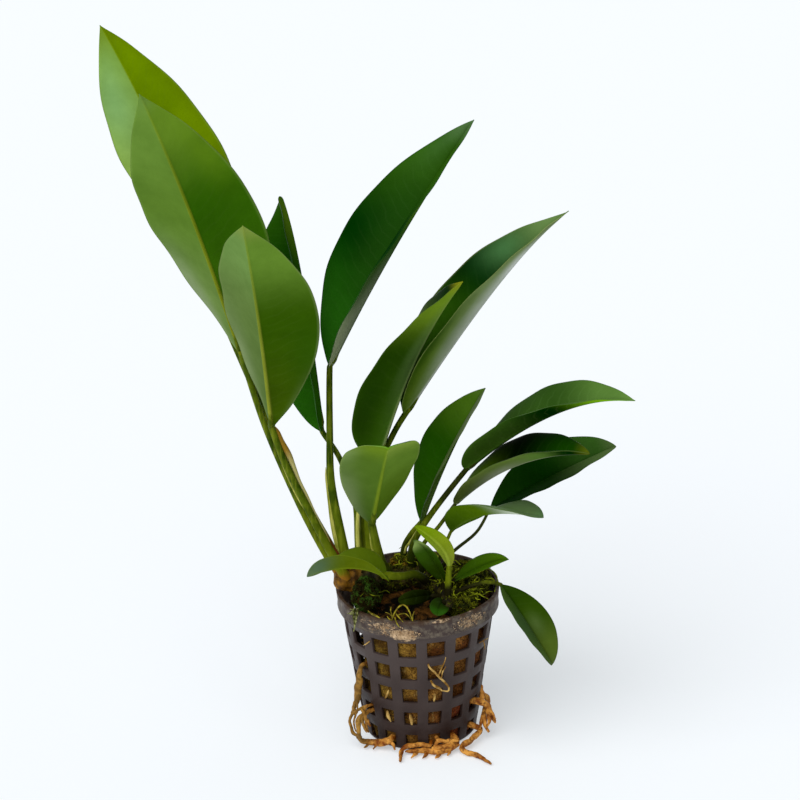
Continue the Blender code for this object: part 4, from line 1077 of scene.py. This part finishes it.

# The blades are stiff and leathery: two halves folded up from the midrib, dark above and paler
# and duller below, with a thin raised midrib under, faint side veins and a thin edge.
# Each half is coloured from neck to tip, right and left as seen from above with the tip up. These
# colours hold painted light as well as the leaf's own green: a half is painted lighter or darker
# by how its fold faces the light, leaves that lie under others are painted dark with their
# shadow, and pale grey-green is the painted sheen of the table reflected in a half.
LEAF_COLOURS_AND_PAINTED_LIGHT = {
    "left_back": dict(
        under_right=((136, 178, 60), (150, 186, 84), (130, 168, 68)),
        under_left=((130, 168, 6), (128, 164, 0), (120, 154, 0)),
        rib=(128, 150, 8), edge=(130, 160, 60), tip=(108, 134, 8)),
    "left_tall": dict(
        under_right=((106, 134, 66), (92, 126, 42), (106, 142, 54)),
        under_left=((70, 118, 14), (52, 100, 6), (112, 150, 40)),
        rib=(132, 138, 30), edge=(120, 148, 70), tip=(112, 146, 66)),
    "left_front": dict(
        under_right=((90, 114, 58), (96, 122, 60), (112, 146, 74)),
        under_left=((62, 88, 6), (52, 86, 4), (102, 138, 46)),
        rib=(150, 158, 52), edge=(124, 144, 84), tip=(130, 148, 66)),
    "dark_left": dict(
        upper_left=((40, 100, 10), (18, 72, 2), (34, 80, 2)),
        under_right=((46, 100, 10), (26, 72, 4), (72, 104, 16)),
        rib=(60, 88, 36), edge=(18, 54, 4), tip=(46, 88, 18)),
    "dark_tall": dict(
        upper_left=((40, 104, 16), (0, 46, 0), (42, 84, 8)),
        # The near-white neck of this half is a painted reflection.
        under_right=((190, 198, 160), (44, 90, 16), (92, 124, 34)),
        rib=(70, 98, 40), edge=(24, 66, 10), tip=(80, 112, 66)),
    "dark_right": dict(
        upper_left=((72, 124, 18), (0, 46, 0), (94, 124, 66)),
        # The grey middle and tip of this half and the near-white rib are painted sheen.
        under_right=((98, 128, 34), (118, 138, 84), (110, 130, 82)),
        rib=(190, 196, 184), edge=(150, 164, 92), tip=(92, 120, 60)),
    "olive_middle": dict(
        upper_left=((60, 92, 14), (78, 108, 18), (8, 40, 0)),
        under_right=((64, 106, 14), (40, 72, 4), (116, 148, 34)),
        rib=(132, 150, 92), edge=(78, 108, 40), tip=(146, 150, 26)),
    "front_heart": dict(
        under_right=((80, 110, 34), (82, 112, 34), (106, 134, 32)),
        under_left=((84, 114, 24), (98, 130, 42), (128, 154, 60)),
        rib=(126, 146, 34), edge=(140, 160, 90), tip=(100, 150, 20)),
    "middle_right": dict(
        upper_left=((34, 76, 0), (30, 74, 0), (70, 106, 20)),
        # The grey tip end of this half is painted sheen.
        upper_right=((24, 54, 0), (70, 88, 40), (96, 112, 76)),
        rib=(64, 84, 40), edge=(60, 84, 34), tip=(82, 110, 40)),
    "arching_right": dict(
        upper_left=((42, 70, 16), (46, 78, 22), (84, 120, 50)),
        # The black-green middle of this half is painted shade.
        under_right=((92, 140, 44), (0, 46, 0), (130, 188, 20)),
        rib=(56, 84, 30), edge=(74, 110, 40), tip=(98, 134, 60), veins=0.08),
    "low_right": dict(
        # The near-black middle of this half is the painted shadow of arching_right.
        upper_left=((70, 98, 10), (2, 14, 0), (18, 58, 0)),
        under_right=((130, 146, 70), (104, 126, 56), (0, 40, 0)),
        # The pale grey rib is a painted highlight.
        rib=(170, 178, 150), edge=(100, 124, 60), tip=(90, 100, 14)),
    "far_right": dict(
        upper_left=((30, 74, 10), (14, 62, 0), (56, 96, 30)),
        upper_right=((4, 46, 0), (18, 56, 0), (90, 118, 60)),
        rib=(14, 52, 4), edge=(40, 70, 16), tip=(90, 112, 64)),
    "curled_right": dict(
        upper_left=((60, 90, 30), (88, 118, 62), (84, 110, 64)),
        # The near-white tip end of this half is a painted reflection.
        under_right=((62, 92, 8), (80, 110, 8), (222, 232, 212)),
        rib=(84, 108, 36), edge=(90, 112, 50), tip=(80, 112, 68)),
    "new_bright": dict(
        under_right=((130, 146, 44), (134, 156, 40), (118, 150, 12)),
        under_left=((136, 148, 46), (130, 150, 28), (122, 152, 14)),
        rib=(150, 168, 56), edge=(130, 150, 50), tip=(108, 136, 10)),
    "new_dark": dict(
        upper_left=((34, 54, 0), (50, 82, 10), (146, 172, 90)),
        rib=(44, 66, 14), edge=(50, 80, 22), tip=(90, 118, 56)),
    "low_left": dict(
        upper_right=((80, 100, 10), (84, 104, 14), (84, 104, 20)),
        under_left=((98, 116, 18), (88, 104, 10), (86, 104, 16)),
        # The grey-blue tip is a painted reflection.
        rib=(120, 138, 26), edge=(100, 116, 26), tip=(84, 106, 78)),
    "rim_right": dict(
        upper_left=((54, 84, 4), (62, 96, 4), (74, 112, 6)),
        rib=(60, 100, 20), edge=(64, 96, 24), tip=(70, 104, 20)),
    "hanging_right": dict(
        upper_left=((34, 60, 0), (46, 72, 4), (78, 98, 30)),
        upper_right=((58, 82, 28), (54, 78, 38), (66, 90, 34)),
        rib=(50, 76, 28), edge=(52, 76, 26), tip=(78, 94, 40)),
    "small_front": dict(upper_left=((10, 14, 0), (18, 28, 0), (32, 44, 2)),
                        rib=(18, 28, 0), edge=(30, 42, 6), tip=(34, 46, 4)),
    "rim_bud": dict(upper_left=((22, 34, 4), (26, 46, 4), (34, 72, 8)),
                    rib=(26, 44, 4), edge=(44, 66, 16), tip=(52, 70, 18)),
}

# Soft-edged patches of another colour, painted into a half. The pale grey-green ones are painted
# highlights and painted reflections of the table; the others make a half darker or greener in
# places. Each has the half, the middle and reach along the leaf, the middle and reach from midrib
# to margin, the colour and its strength.
LEAF_HIGHLIGHTS_AND_TONES = {
    "left_back": [("under_left", 0.6, 0.5, 1.0, 0.25, (104, 132, 4), 0.6),
                  ("under_right", 0.76, 0.14, 0.7, 0.5, (142, 192, 122), 0.6)],
    "left_tall": [("under_right", 0.16, 0.16, 0.95, 0.3, (140, 156, 118), 0.7),
                  ("under_left", 0.66, 0.13, 0.8, 0.3, (96, 134, 20), 0.6)],
    "left_front": [("under_right", 0.22, 0.2, 0.95, 0.3, (132, 150, 104), 0.7),
                   ("under_left", 0.14, 0.14, 1.0, 0.16, (90, 112, 56), 0.6),
                   ("under_left", 0.34, 0.16, 0.85, 0.4, (44, 82, 6), 0.7)],
    "dark_tall": [("upper_left", 0.5, 0.25, 0.1, 0.4, (32, 76, 10), 0.8),
                  ("under_right", 0.36, 0.16, 0.5, 1.0, (34, 78, 0), 0.75),
                  ("upper_left", 0.94, 0.12, 0.6, 0.4, (66, 104, 50), 0.5),
                  ("under_right", 0.22, 0.2, 0.0, 0.3, (150, 160, 132), 0.85)],
    "dark_right": [("upper_left", 0.62, 0.1, 0.6, 0.5, (70, 118, 66), 0.8),
                   ("under_right", 0.3, 0.18, 0.05, 0.25, (176, 184, 168), 0.85),
                   ("under_right", 0.58, 0.16, 0.0, 0.3, (206, 212, 204), 0.9),
                   ("under_right", 0.2, 0.18, 0.9, 0.4, (32, 66, 4), 0.85)],
    "olive_middle": [("under_right", 0.5, 0.3, 0.05, 0.16, (92, 120, 62), 0.7),
                     ("under_right", 0.25, 0.2, 0.7, 0.4, (36, 72, 6), 0.7)],
    "front_heart": [("under_right", 0.2, 0.2, 0.95, 0.35, (134, 150, 104), 0.7),
                    ("under_right", 0.62, 0.14, 0.95, 0.25, (136, 160, 96), 0.6)],
    "arching_right": [("under_right", 0.1, 0.13, 0.3, 0.7, (74, 112, 30), 0.85)],
    "low_right": [("under_right", 0.34, 0.18, 0.0, 0.3, (168, 174, 150), 0.8),
                  ("under_right", 0.66, 0.1, 0.2, 0.6, (90, 128, 48), 0.7)],
    "low_left": [("under_left", 0.86, 0.13, 0.5, 0.9, (84, 108, 80), 0.9)],
    "hanging_right": [("upper_left", 0.58, 0.12, 0.3, 0.3, (86, 106, 56), 0.5)],
}
PLAIN_UPPER = ((36, 80, 14), (34, 78, 14), (44, 88, 20))
PLAIN_UNDER = ((80, 110, 44), (84, 114, 44), (92, 122, 50))
ACROSS = (0.0, 0.06, 0.12, 0.18, 0.24, 0.32, 0.42, 0.52, 0.62, 0.72, 0.81, 0.89, 0.945, 0.98, 1.0)
NEAR_RIB = (0.0, 0.15, 0.32, 0.55, 0.95)
LEAST_ROWS = 26
ROW_SPACING = 0.9
EVEN_ROWS = 0.35
VEIN_SWEEP = 0.5
VEIN_PITCH = 3.4
FAINT_VEINS = 0.025
MARGIN_THICKNESS = 0.34
BLADE_THICKNESS = 0.62
THIN_BELOW = 2.0
TIP_HALF_WIDTH = 0.16
BULGE = 0.05
WAVE = 0.32
WAVES = 9
UNEVENNESS = 0.5
GROOVE_DEPTH = 0.18
GROOVE_WIDTH = 0.45
RIB_SHARE = 0.5
LEAST_RIB = 0.08


def outline_share(leaf, s):
    """Share of the full width at s: zero at both ends and one at the belly."""
    rise = leaf["belly"] * leaf["fullness"]
    fall = (1 - leaf["belly"]) * leaf["fullness"]
    peak = leaf["belly"] ** rise * (1 - leaf["belly"]) ** fall
    return s ** rise * (1 - s) ** fall / peak


def smooth_step(value, low, high):
    share = min(1.0, max(0.0, (value - low) / (high - low)))
    return share * share * (3 - 2 * share)


def between(first, second, share):
    return [a + (b - a) * share for a, b in zip(first, second)]


def half_colours(colours):
    """The neck, middle and tip colour of all four half faces; unseen ones match the seen ones."""
    halves = {}
    for face, plain in (("upper", PLAIN_UPPER), ("under", PLAIN_UNDER)):
        for side, other in (("right", "left"), ("left", "right")):
            chosen = colours.get(face + "_" + side) or colours.get(face + "_" + other) or plain
            halves[face + "_" + side] = [shade(*colour) for colour in chosen]
    return halves


def blade_mesh(title, leaf, colours, finishes):
    """A closed blade whose rows follow the side veins out from the midrib towards the tip."""
    fold = math.radians(leaf["fold"])
    neck_radius = leaf["thick"][1]
    length = sum((midrib_point(leaf, (k + 1) / 20) - midrib_point(leaf, k / 20)).length
                 for k in range(20))
    rows = max(LEAST_ROWS, round(length / ROW_SPACING))
    phase = sum(map(ord, title)) % 17
    sway = length / 100
    halves = half_colours(colours)
    rib_colour, edge_colour, tip_colour = [shade(*colours[key]) for key in ("rib", "edge", "tip")]
    patches = [(*patch[:5], shade(*patch[5]), patch[6]) for patch in LEAF_HIGHLIGHTS_AND_TONES.get(title, [])]
    points = []
    tints = []
    veins = []
    reaches = []
    columns = ([(-1, rank) for rank in reversed(range(len(ACROSS)))]
               + [(1, rank) for rank in range(1, len(ACROSS))])

    def tint_at(face, side, s, share, reach):
        half = face + ("_right" if side > 0 else "_left")
        neck, middle, head = halves[half]
        colour = between(between(neck, middle, smooth_step(s, 0.12, 0.5)), head,
                         smooth_step(s, 0.5, 0.85))
        # Patches of painted highlight and reflection, and darker or greener places, lie over the
        # half.
        for where, s_middle, s_reach, middle_share, share_reach, patch_colour, strength in patches:
            if where == half:
                near = math.exp(-((s - s_middle) / s_reach) ** 2
                                - ((share - middle_share) / share_reach) ** 2)
                colour = between(colour, patch_colour, strength * near)
        # The tip, the midrib and the margin are mixed towards their own colours: the leaf's yellow
        # midrib, tip and thin edge, and on some leaves a pale painted highlight along the midrib
        # and the margin and a painted reflection at the tip.
        colour = between(colour, tip_colour, 0.8 * smooth_step(s, 0.88, 1.0))
        rib_width = 0.2 + 0.3 * (1 - s) * neck_radius
        rib = (0.9 if face == "under" else 0.35) * math.exp(-(reach / rib_width) ** 4)
        colour = between(colour, rib_colour, rib * (1 - s) ** 0.7)
        return between(colour, edge_colour, 0.7 * smooth_step(share, 0.96, 1.0))

    def spot_at(row, side, rank, face):
        phi = 0.5 - 0.5 * math.cos(math.pi * row / rows)
        phi = EVEN_ROWS * row / rows + (1 - EVEN_ROWS) * phi
        share = ACROSS[rank]
        s = phi + VEIN_SWEEP * share * phi * (1 - phi)
        centre, along, upper, beside = midrib_frame(leaf, s)
        least = neck_radius * 0.8 * (1 - s) ** 2 + TIP_HALF_WIDTH
        half = max(leaf["width"] / 2 * outline_share(leaf, s), least)
        reach = share * half
        if rank < len(NEAR_RIB):
            reach = min(reach, NEAR_RIB[rank])
            share = reach / half
        up_from_half = upper * math.cos(fold) - beside * side * math.sin(fold)
        spot = centre + beside * side * reach * math.cos(fold) + upper * reach * math.sin(fold)
        wave = WAVE * share ** 3 * math.sin(WAVES * s * math.pi + phase + 2 * side)
        wave += UNEVENNESS * share ** 2 * noise.noise(Vector((4 * s, side, phase)))
        spot += up_from_half * (BULGE * half * 4 * share * (1 - share)
                                + wave * sway * min(1, half / 6))
        outward = upper if share == 0 else up_from_half
        rounding = (1 - smooth_step(share, 0.9, 1.0)) ** 0.5
        thickness = MARGIN_THICKNESS + (BLADE_THICKNESS - MARGIN_THICKNESS) * (1 - share)
        thickness *= rounding
        if half < THIN_BELOW:
            thickness *= 0.45 + 0.55 * half / THIN_BELOW
        groove = GROOVE_DEPTH * math.exp(-(reach / GROOVE_WIDTH) ** 2) * min(1.0, half / 3)
        ridge = neck_radius * RIB_SHARE * (1 - s) ** 1.3 + LEAST_RIB
        ridge *= math.exp(-(reach / (0.25 + 0.4 * ridge)) ** 2) * min(1.0, half / 1.5)
        if face == "upper":
            spot += outward * (thickness / 2 - groove)
        else:
            spot -= outward * (thickness / 2 + ridge)
        points.append(spot * MM)
        tints.append(tint_at(face, side, s, share, reach))
        veins.append(phi * length / VEIN_PITCH)
        reaches.append(share)

    for row in range(rows + 1):
        for side, rank in columns:
            spot_at(row, side, rank, "upper")
        for side, rank in reversed(columns[1:-1]):
            spot_at(row, side, rank, "under")
    around = 2 * len(columns) - 2
    upper_steps = len(columns) - 1
    faces = []
    for row in range(rows):
        for step in range(around):
            near = (step + 1) % around
            low = row * around
            faces.append((low + step, low + near, low + around + near, low + around + step))
    for low, turned_over in ((0, True), (rows * around, False)):
        for step in range(upper_steps):
            a, b = low + step, low + step + 1
            c, d = low + (around - step - 1) % around, low + (around - step) % around
            ring = (a, b, c, d) if step < upper_steps - 1 else (a, b, d)
            if step == 0:
                ring = (a, b, c)
            faces.append(tuple(reversed(ring)) if turned_over else ring)
    mesh = mesh_of(title, points, faces)
    tint = mesh.attributes.new("tint", "FLOAT_COLOR", "POINT")
    tint.data.foreach_set("color", [level for colour in tints for level in colour])
    for label, values in (("vein", veins), ("reach", reaches),
                          ("veining", [colours.get("veins", FAINT_VEINS)] * len(points))):
        mesh.attributes.new(label, "FLOAT", "POINT").data.foreach_set("value", values)
    for finish in finishes:
        mesh.materials.append(finish)
    mesh.polygons.foreach_set("material_index",
                              [0 if index < rows * around and index % around < upper_steps else 1
                               for index in range(len(mesh.polygons))])
    face_outwards(mesh)
    return mesh


def leaf_material(name, roughness, specular, vein_light):
    made, tree, shader = new_material(name, roughness, specular)
    tint = node(tree, "ShaderNodeAttribute", attribute_name="tint").outputs["Color"]
    vein, reach, veining = (node(tree, "ShaderNodeAttribute", attribute_name=label).outputs["Fac"]
                            for label in ("vein", "reach", "veining"))
    wander = times(tree, grain(tree, 6.0, 3.0), 1.1)
    line = maths(tree, "PINGPONG", maths(tree, "ADD", vein, wander), 0.5)
    on_vein = ranged(tree, line, 0.0, 0.12, 1.0, 0.0)
    fade = times(tree, ranged(tree, reach, 0.03, 0.15), ranged(tree, reach, 0.95, 0.5))
    on_vein = times(tree, on_vein, fade)
    mottled = mixed(tree, ranged(tree, grain(tree, 8.0, 5.0, coarse=0.62), 0.3, 0.7),
                    (0.88, 0.9, 0.85, 1.0), (1.12, 1.1, 1.15, 1.0))
    colour = node(tree, "ShaderNodeMix", {0: 1.0, 6: tint, 7: mottled}, data_type="RGBA",
                  blend_type="MULTIPLY", clamp_result=False).outputs[2]
    veined = mixed(tree, times(tree, on_vein, veining), colour, vein_light)
    paint(tree, shader, veined)
    cells = node(tree, "ShaderNodeTexVoronoi",
                 {"Vector": node(tree, "ShaderNodeTexCoord").outputs["Object"],
                  "Scale": 1 / (0.9 * MM)}).outputs["Distance"]
    quilt = times(tree, cells, 0.1)
    raised(tree, shader, maths(tree, "ADD", quilt, grain(tree, 5.0, 3.0)), 0.12)
    return made


leaf_top = leaf_material("leaf_upper_face", 0.42, 0.01, shade(110, 150, 80))
leaf_bottom = leaf_material("leaf_lower_face", 0.6, 0.0, shade(140, 160, 90))

for title, leaf in LEAVES.items():
    blade = blade_mesh(title, leaf, LEAF_COLOURS_AND_PAINTED_LIGHT[title], (leaf_top, leaf_bottom))
    place(blade, "blade_" + title, ["leaf_" + title])

# Cushions of moss sit on the fibre round the rhizome. Each is a dark lumpy mat that is covered
# in short leafy sprigs, with longer yellow-green strands straying out of it on the right. Low
# cushions also grow on top of the rhizome, and thin moss clings to the rhizome's sides.
CUSHIONS = {
    "moss_left": ((-15.6, -9.5, 49.8), (4.4, 5.6, 5.6), 2.4e6),
    "moss_front_right": ((13.0, -12.0, 46.6), (5.2, 5.6, 3.4), 3.6e6),
    "moss_right": ((16.0, 1.0, 48.6), (6.6, 11.0, 5.6), 3.2e6),
    "moss_top": ((-0.4, 3.4, 54.2), (4.4, 2.4, 3.0), 2.6e6),
    "moss_crown": ((-4.4, 2.6, 54.0), (4.4, 2.4, 2.6), 2.4e6),
}
ON_RHIZOME = ("moss_top", "moss_crown")


def mat_surface(title, centre, half_sizes):
    """The dense lumpy mat inside a cushion, a little smaller than the cushion with its sprigs."""
    body = bmesh.new()
    bmesh.ops.create_icosphere(body, subdivisions=4, radius=1.0)
    middle = Vector(centre)
    for vertex in body.verts:
        lump = 0.84 + 0.16 * noise.noise(vertex.co * 2.2 + middle)
        lump += 0.12 * noise.noise(vertex.co * 5.0 + middle)
        spot = Vector(vertex.co[k] * half_sizes[k] * lump for k in range(3)) + middle
        across = spot.xy.length
        most = RIM_RADIUS - WALL - 0.3
        if across > most and spot.z < POT_HEIGHT:
            spot.xy *= most / across
        vertex.co = spot * MM
    return body_to_mesh(body, title)


def sprig(name, stems, length, girth, seed):
    """A tuft of bent tapering stems with their feet together."""
    chance = random.Random(seed)
    strands = []
    for stem in range(stems):
        turn = 2 * math.pi * (stem + chance.random()) / stems
        out = Vector((math.cos(turn), math.sin(turn), 0)) * chance.uniform(0.35, 0.95)
        reach = length * chance.uniform(0.6, 1.0)
        sag = chance.uniform(-0.5, 0.3)
        strands.append(([Vector((0, 0, -0.2)), (out * 0.45 + Vector((0, 0, 0.6))) * reach,
                         (out + Vector((0, 0, 0.75 + sag * 0.5))) * reach],
                        [girth * 0.7, girth, girth * 0.3]))
    return tuft(name, strands)


mat, tree, shader = new_material("moss_mat", 0.95, 0.05)
paint(tree, shader, two_toned(tree, 2.4, 5.0, 0.4, 0.64, (12, 11, 2), (78, 56, 12)))
raised(tree, shader, grain(tree, 0.5, 5.0), 0.5)

moss, tree, shader = new_material("moss", 0.8, 0.08)
dark_moss = two_toned(tree, 1.6, 4.0, 0.4, 0.62, (30, 36, 4), (112, 116, 18))
left_moss = two_toned(tree, 2.0, 4.0, 0.48, 0.62, (44, 38, 8), (76, 114, 34))
on_left = ranged(tree, place_on_piece(tree)["X"], -8 * MM, -12 * MM)
paint(tree, shader, mixed(tree, on_left, dark_moss, left_moss))

crown_moss, tree, shader = new_material("crown_moss", 0.8, 0.08)
paint(tree, shader, two_toned(tree, 1.8, 4.0, 0.45, 0.62, (66, 74, 4), (156, 122, 30)))

sprig_object = hidden_object(sprig("moss_sprig", 6, 1.5, 0.16, 8))
for number, (title, (centre, half_sizes, density)) in enumerate(CUSHIONS.items()):
    on_rhizome = title in ON_RHIZOME
    cushion = grown_by(scatter_tree, mat_surface(title, centre, half_sizes),
                       {"Grain": sprig_object, "Density": density, "Smallest": 0.5,
                        "Largest": 1.15, "Lean": 0.7, "Seed": 20 + number, "Keep Ground": True,
                        "Finish": crown_moss if on_rhizome else moss, "Ground Finish": mat})
    place(cushion, "cushion_" + title, [] if on_rhizome else [title])


def mossy_part(title):
    """The patches of a rhizome's skin that moss grows on: all but its bare left end."""
    body = bmesh.new()
    body.from_mesh(bpy.data.objects["bare_" + title].data)
    bare = [face for face in body.faces
            if face.calc_center_median().x < -17.0 * MM
            or noise.noise(face.calc_center_median() * 260.0) < -0.12]
    bmesh.ops.delete(body, geom=bare, context="FACES")
    return body_to_mesh(body, "mossy_" + title)


for number, title in enumerate(RHIZOME):
    film = grown_by(scatter_tree, mossy_part(title),
                    {"Grain": sprig_object, "Density": 1.5e6, "Smallest": 0.3, "Largest": 0.8,
                     "Lean": 0.8, "Seed": 40 + number, "Keep Ground": False, "Finish": moss,
                     "Ground Finish": mat})
    place(film, "clinging_moss_" + title, [])
bpy.data.objects.remove(sprig_object, do_unlink=True)

strand_skin, tree, shader = new_material("moss_strand", 0.7, 0.1)
paint(tree, shader, two_toned(tree, 2.0, 3.0, 0.4, 0.6, (72, 78, 4), (148, 158, 24)))


def stray_strands(box_low, box_high, count, length, girth, seed):
    """Curly strands that start in a box and wander over the moss."""
    chance = random.Random(seed)
    steps = 6
    routes = []
    for strand in range(count):
        spot = Vector(chance.uniform(low, high) for low, high in zip(box_low, box_high))
        heading = chance.uniform(0, 2 * math.pi)
        knots = []
        for step in range(steps):
            knots.append((*spot, girth * (1.0 if step < steps - 1 else 0.3)))
            heading += chance.uniform(-1.2, 1.2)
            rise = chance.uniform(-0.35, 0.5) if step < 3 else chance.uniform(-0.8, 0.1)
            spot = spot + Vector((math.cos(heading), math.sin(heading), rise)) * length / steps
        routes.append(smooth_route(knots, 0.5))
    return routes


# The box that each group starts in, and its count, length, girth and seed.
STRAY_GROUPS = [
    ((10, -8, 51.5), (17.5, 2, 54.0), 42, 7.0, 0.18, 5),
    ((10, -12, 49.6), (19, -7, 51.4), 34, 6.0, 0.17, 9),
    ((5, -9, 52.0), (11, -5, 54.0), 16, 6.0, 0.17, 14),
    ((-5, 0, 55.6), (4, 4, 56.6), 26, 6.0, 0.18, 6),
    ((-19, -14, 50.0), (-12, -8, 52.6), 7, 5.0, 0.15, 2),
]
PLACED_STRANDS = [
    [(-5.4, 6.0, 57.6, 0.1), (-3.4, 5.6, 59.0, 0.14), (-1.0, 5.0, 59.4, 0.14),
     (0.4, 4.4, 58.6, 0.1)],
    [(20.4, -6.0, 52.6, 0.2), (22.6, -8.6, 53.6, 0.22), (23.6, -11.0, 52.6, 0.2),
     (23.0, -12.8, 51.2, 0.1)],
    [(18.0, -4.0, 53.6, 0.2), (21.4, -4.6, 55.0, 0.22), (23.8, -6.4, 53.8, 0.2),
     (24.2, -8.2, 51.6, 0.1)],
]
strands = [route for group in STRAY_GROUPS for route in stray_strands(*group)]
strands += [smooth_route(knots, 0.5) for knots in PLACED_STRANDS]
place(rods("strands", strands, 5, strand_skin), "moss_strands", [])

# A small tuft of older, paler moss hangs over the basket's rim on the left. Its strands root in
# the fibre inside the rim and lie against the collar's outer face.
TUFT_STRANDS = [
    [(-19.0, -14.4, 47.4, 0.25), (-19.4, -16.6, 48.6, 0.3), (-19.4, -17.4, 46.6, 0.35),
     (-19.2, -17.6, 43.8, 0.3), (-19.6, -17.4, 41.6, 0.15)],
    [(-18.0, -15.4, 47.4, 0.25), (-18.2, -17.4, 48.6, 0.3), (-18.6, -18.3, 46.4, 0.3),
     (-19.2, -17.8, 43.6, 0.12)],
]
old_moss, tree, shader = new_material("old_moss", 0.8, 0.05)
paint(tree, shader, two_toned(tree, 1.4, 3.0, 0.42, 0.6, (66, 68, 24), (150, 152, 96)))
tuft_strands = stray_strands((-19.6, -16.6, 46.2), (-18.2, -15.6, 48.0), 14, 3.0, 0.15, 31)
tuft_strands += [smooth_route(knots, 0.5) for knots in TUFT_STRANDS]
place(rods("tuft", tuft_strands, 5, old_moss), "moss_over_rim", [])

# The studio: a pale table that fills the picture, one wide soft light from high on the left in
# front, and a pale surround. A faint glow of the table's own keeps the plant's shadow light.
# The camera looks down at the plant as the photograph does.
FLOOR_HALF_SIDE = 6.0
ELEVATION = 21.58
ROLL = -1.49
AIM = (-3.9, 0.0, 109.0)
CAMERA_DISTANCE = 715.0
LENS = 108.4
SKY_STRENGTH = 0.45
LIGHT_STRENGTH = 2.25
LIGHT_WIDTH = 60
LIGHT_TURN = (36, 0, -35)

corners = [(x * FLOOR_HALF_SIDE, y * FLOOR_HALF_SIDE, 0.0)
           for x, y in ((-1, -1), (1, -1), (1, 1), (-1, 1))]
floor_mesh = mesh_of("studio_floor", corners, [(0, 1, 2, 3)])
floor = bpy.data.objects.new("studio_floor", floor_mesh)
bpy.context.collection.objects.link(floor)
paper, tree, shader = new_material("pale_paper", 0.9, 0.0)
shader.inputs["Base Color"].default_value = shade(196, 199, 202)
shader.inputs["Emission Color"].default_value = shade(168, 171, 173)
shader.inputs["Emission Strength"].default_value = 1.0
floor_mesh.materials.append(paper)

world = bpy.data.worlds.new("studio")
world.use_nodes = True
world.node_tree.nodes["Background"].inputs["Color"].default_value = (0.95, 0.97, 1.0, 1.0)
world.node_tree.nodes["Background"].inputs["Strength"].default_value = SKY_STRENGTH
bpy.context.scene.world = world

lamp = bpy.data.lights.new("soft_light", "SUN")
lamp.energy = LIGHT_STRENGTH
lamp.angle = math.radians(LIGHT_WIDTH)
lamp_object = bpy.data.objects.new("soft_light", lamp)
bpy.context.collection.objects.link(lamp_object)
lamp_object.rotation_euler = Euler([math.radians(angle) for angle in LIGHT_TURN])

tilt = math.radians(ELEVATION)
roll = math.radians(ROLL)
back = Vector((0, -math.cos(tilt), math.sin(tilt)))
level_right = Vector((1, 0, 0))
level_up = back.cross(level_right)
right = level_right * math.cos(roll) + level_up * math.sin(roll)
up = level_up * math.cos(roll) - level_right * math.sin(roll)
view = bpy.data.cameras.new("camera")
view.sensor_width = 36
view.lens = LENS
view.clip_end = 40
camera = bpy.data.objects.new("camera", view)
bpy.context.collection.objects.link(camera)
turned = Matrix((right, up, back)).transposed().to_4x4()
turned.translation = (Vector(AIM) + back * CAMERA_DISTANCE) * MM
camera.matrix_world = turned
bpy.context.scene.camera = camera
bpy.context.scene.view_settings.view_transform = "Standard"
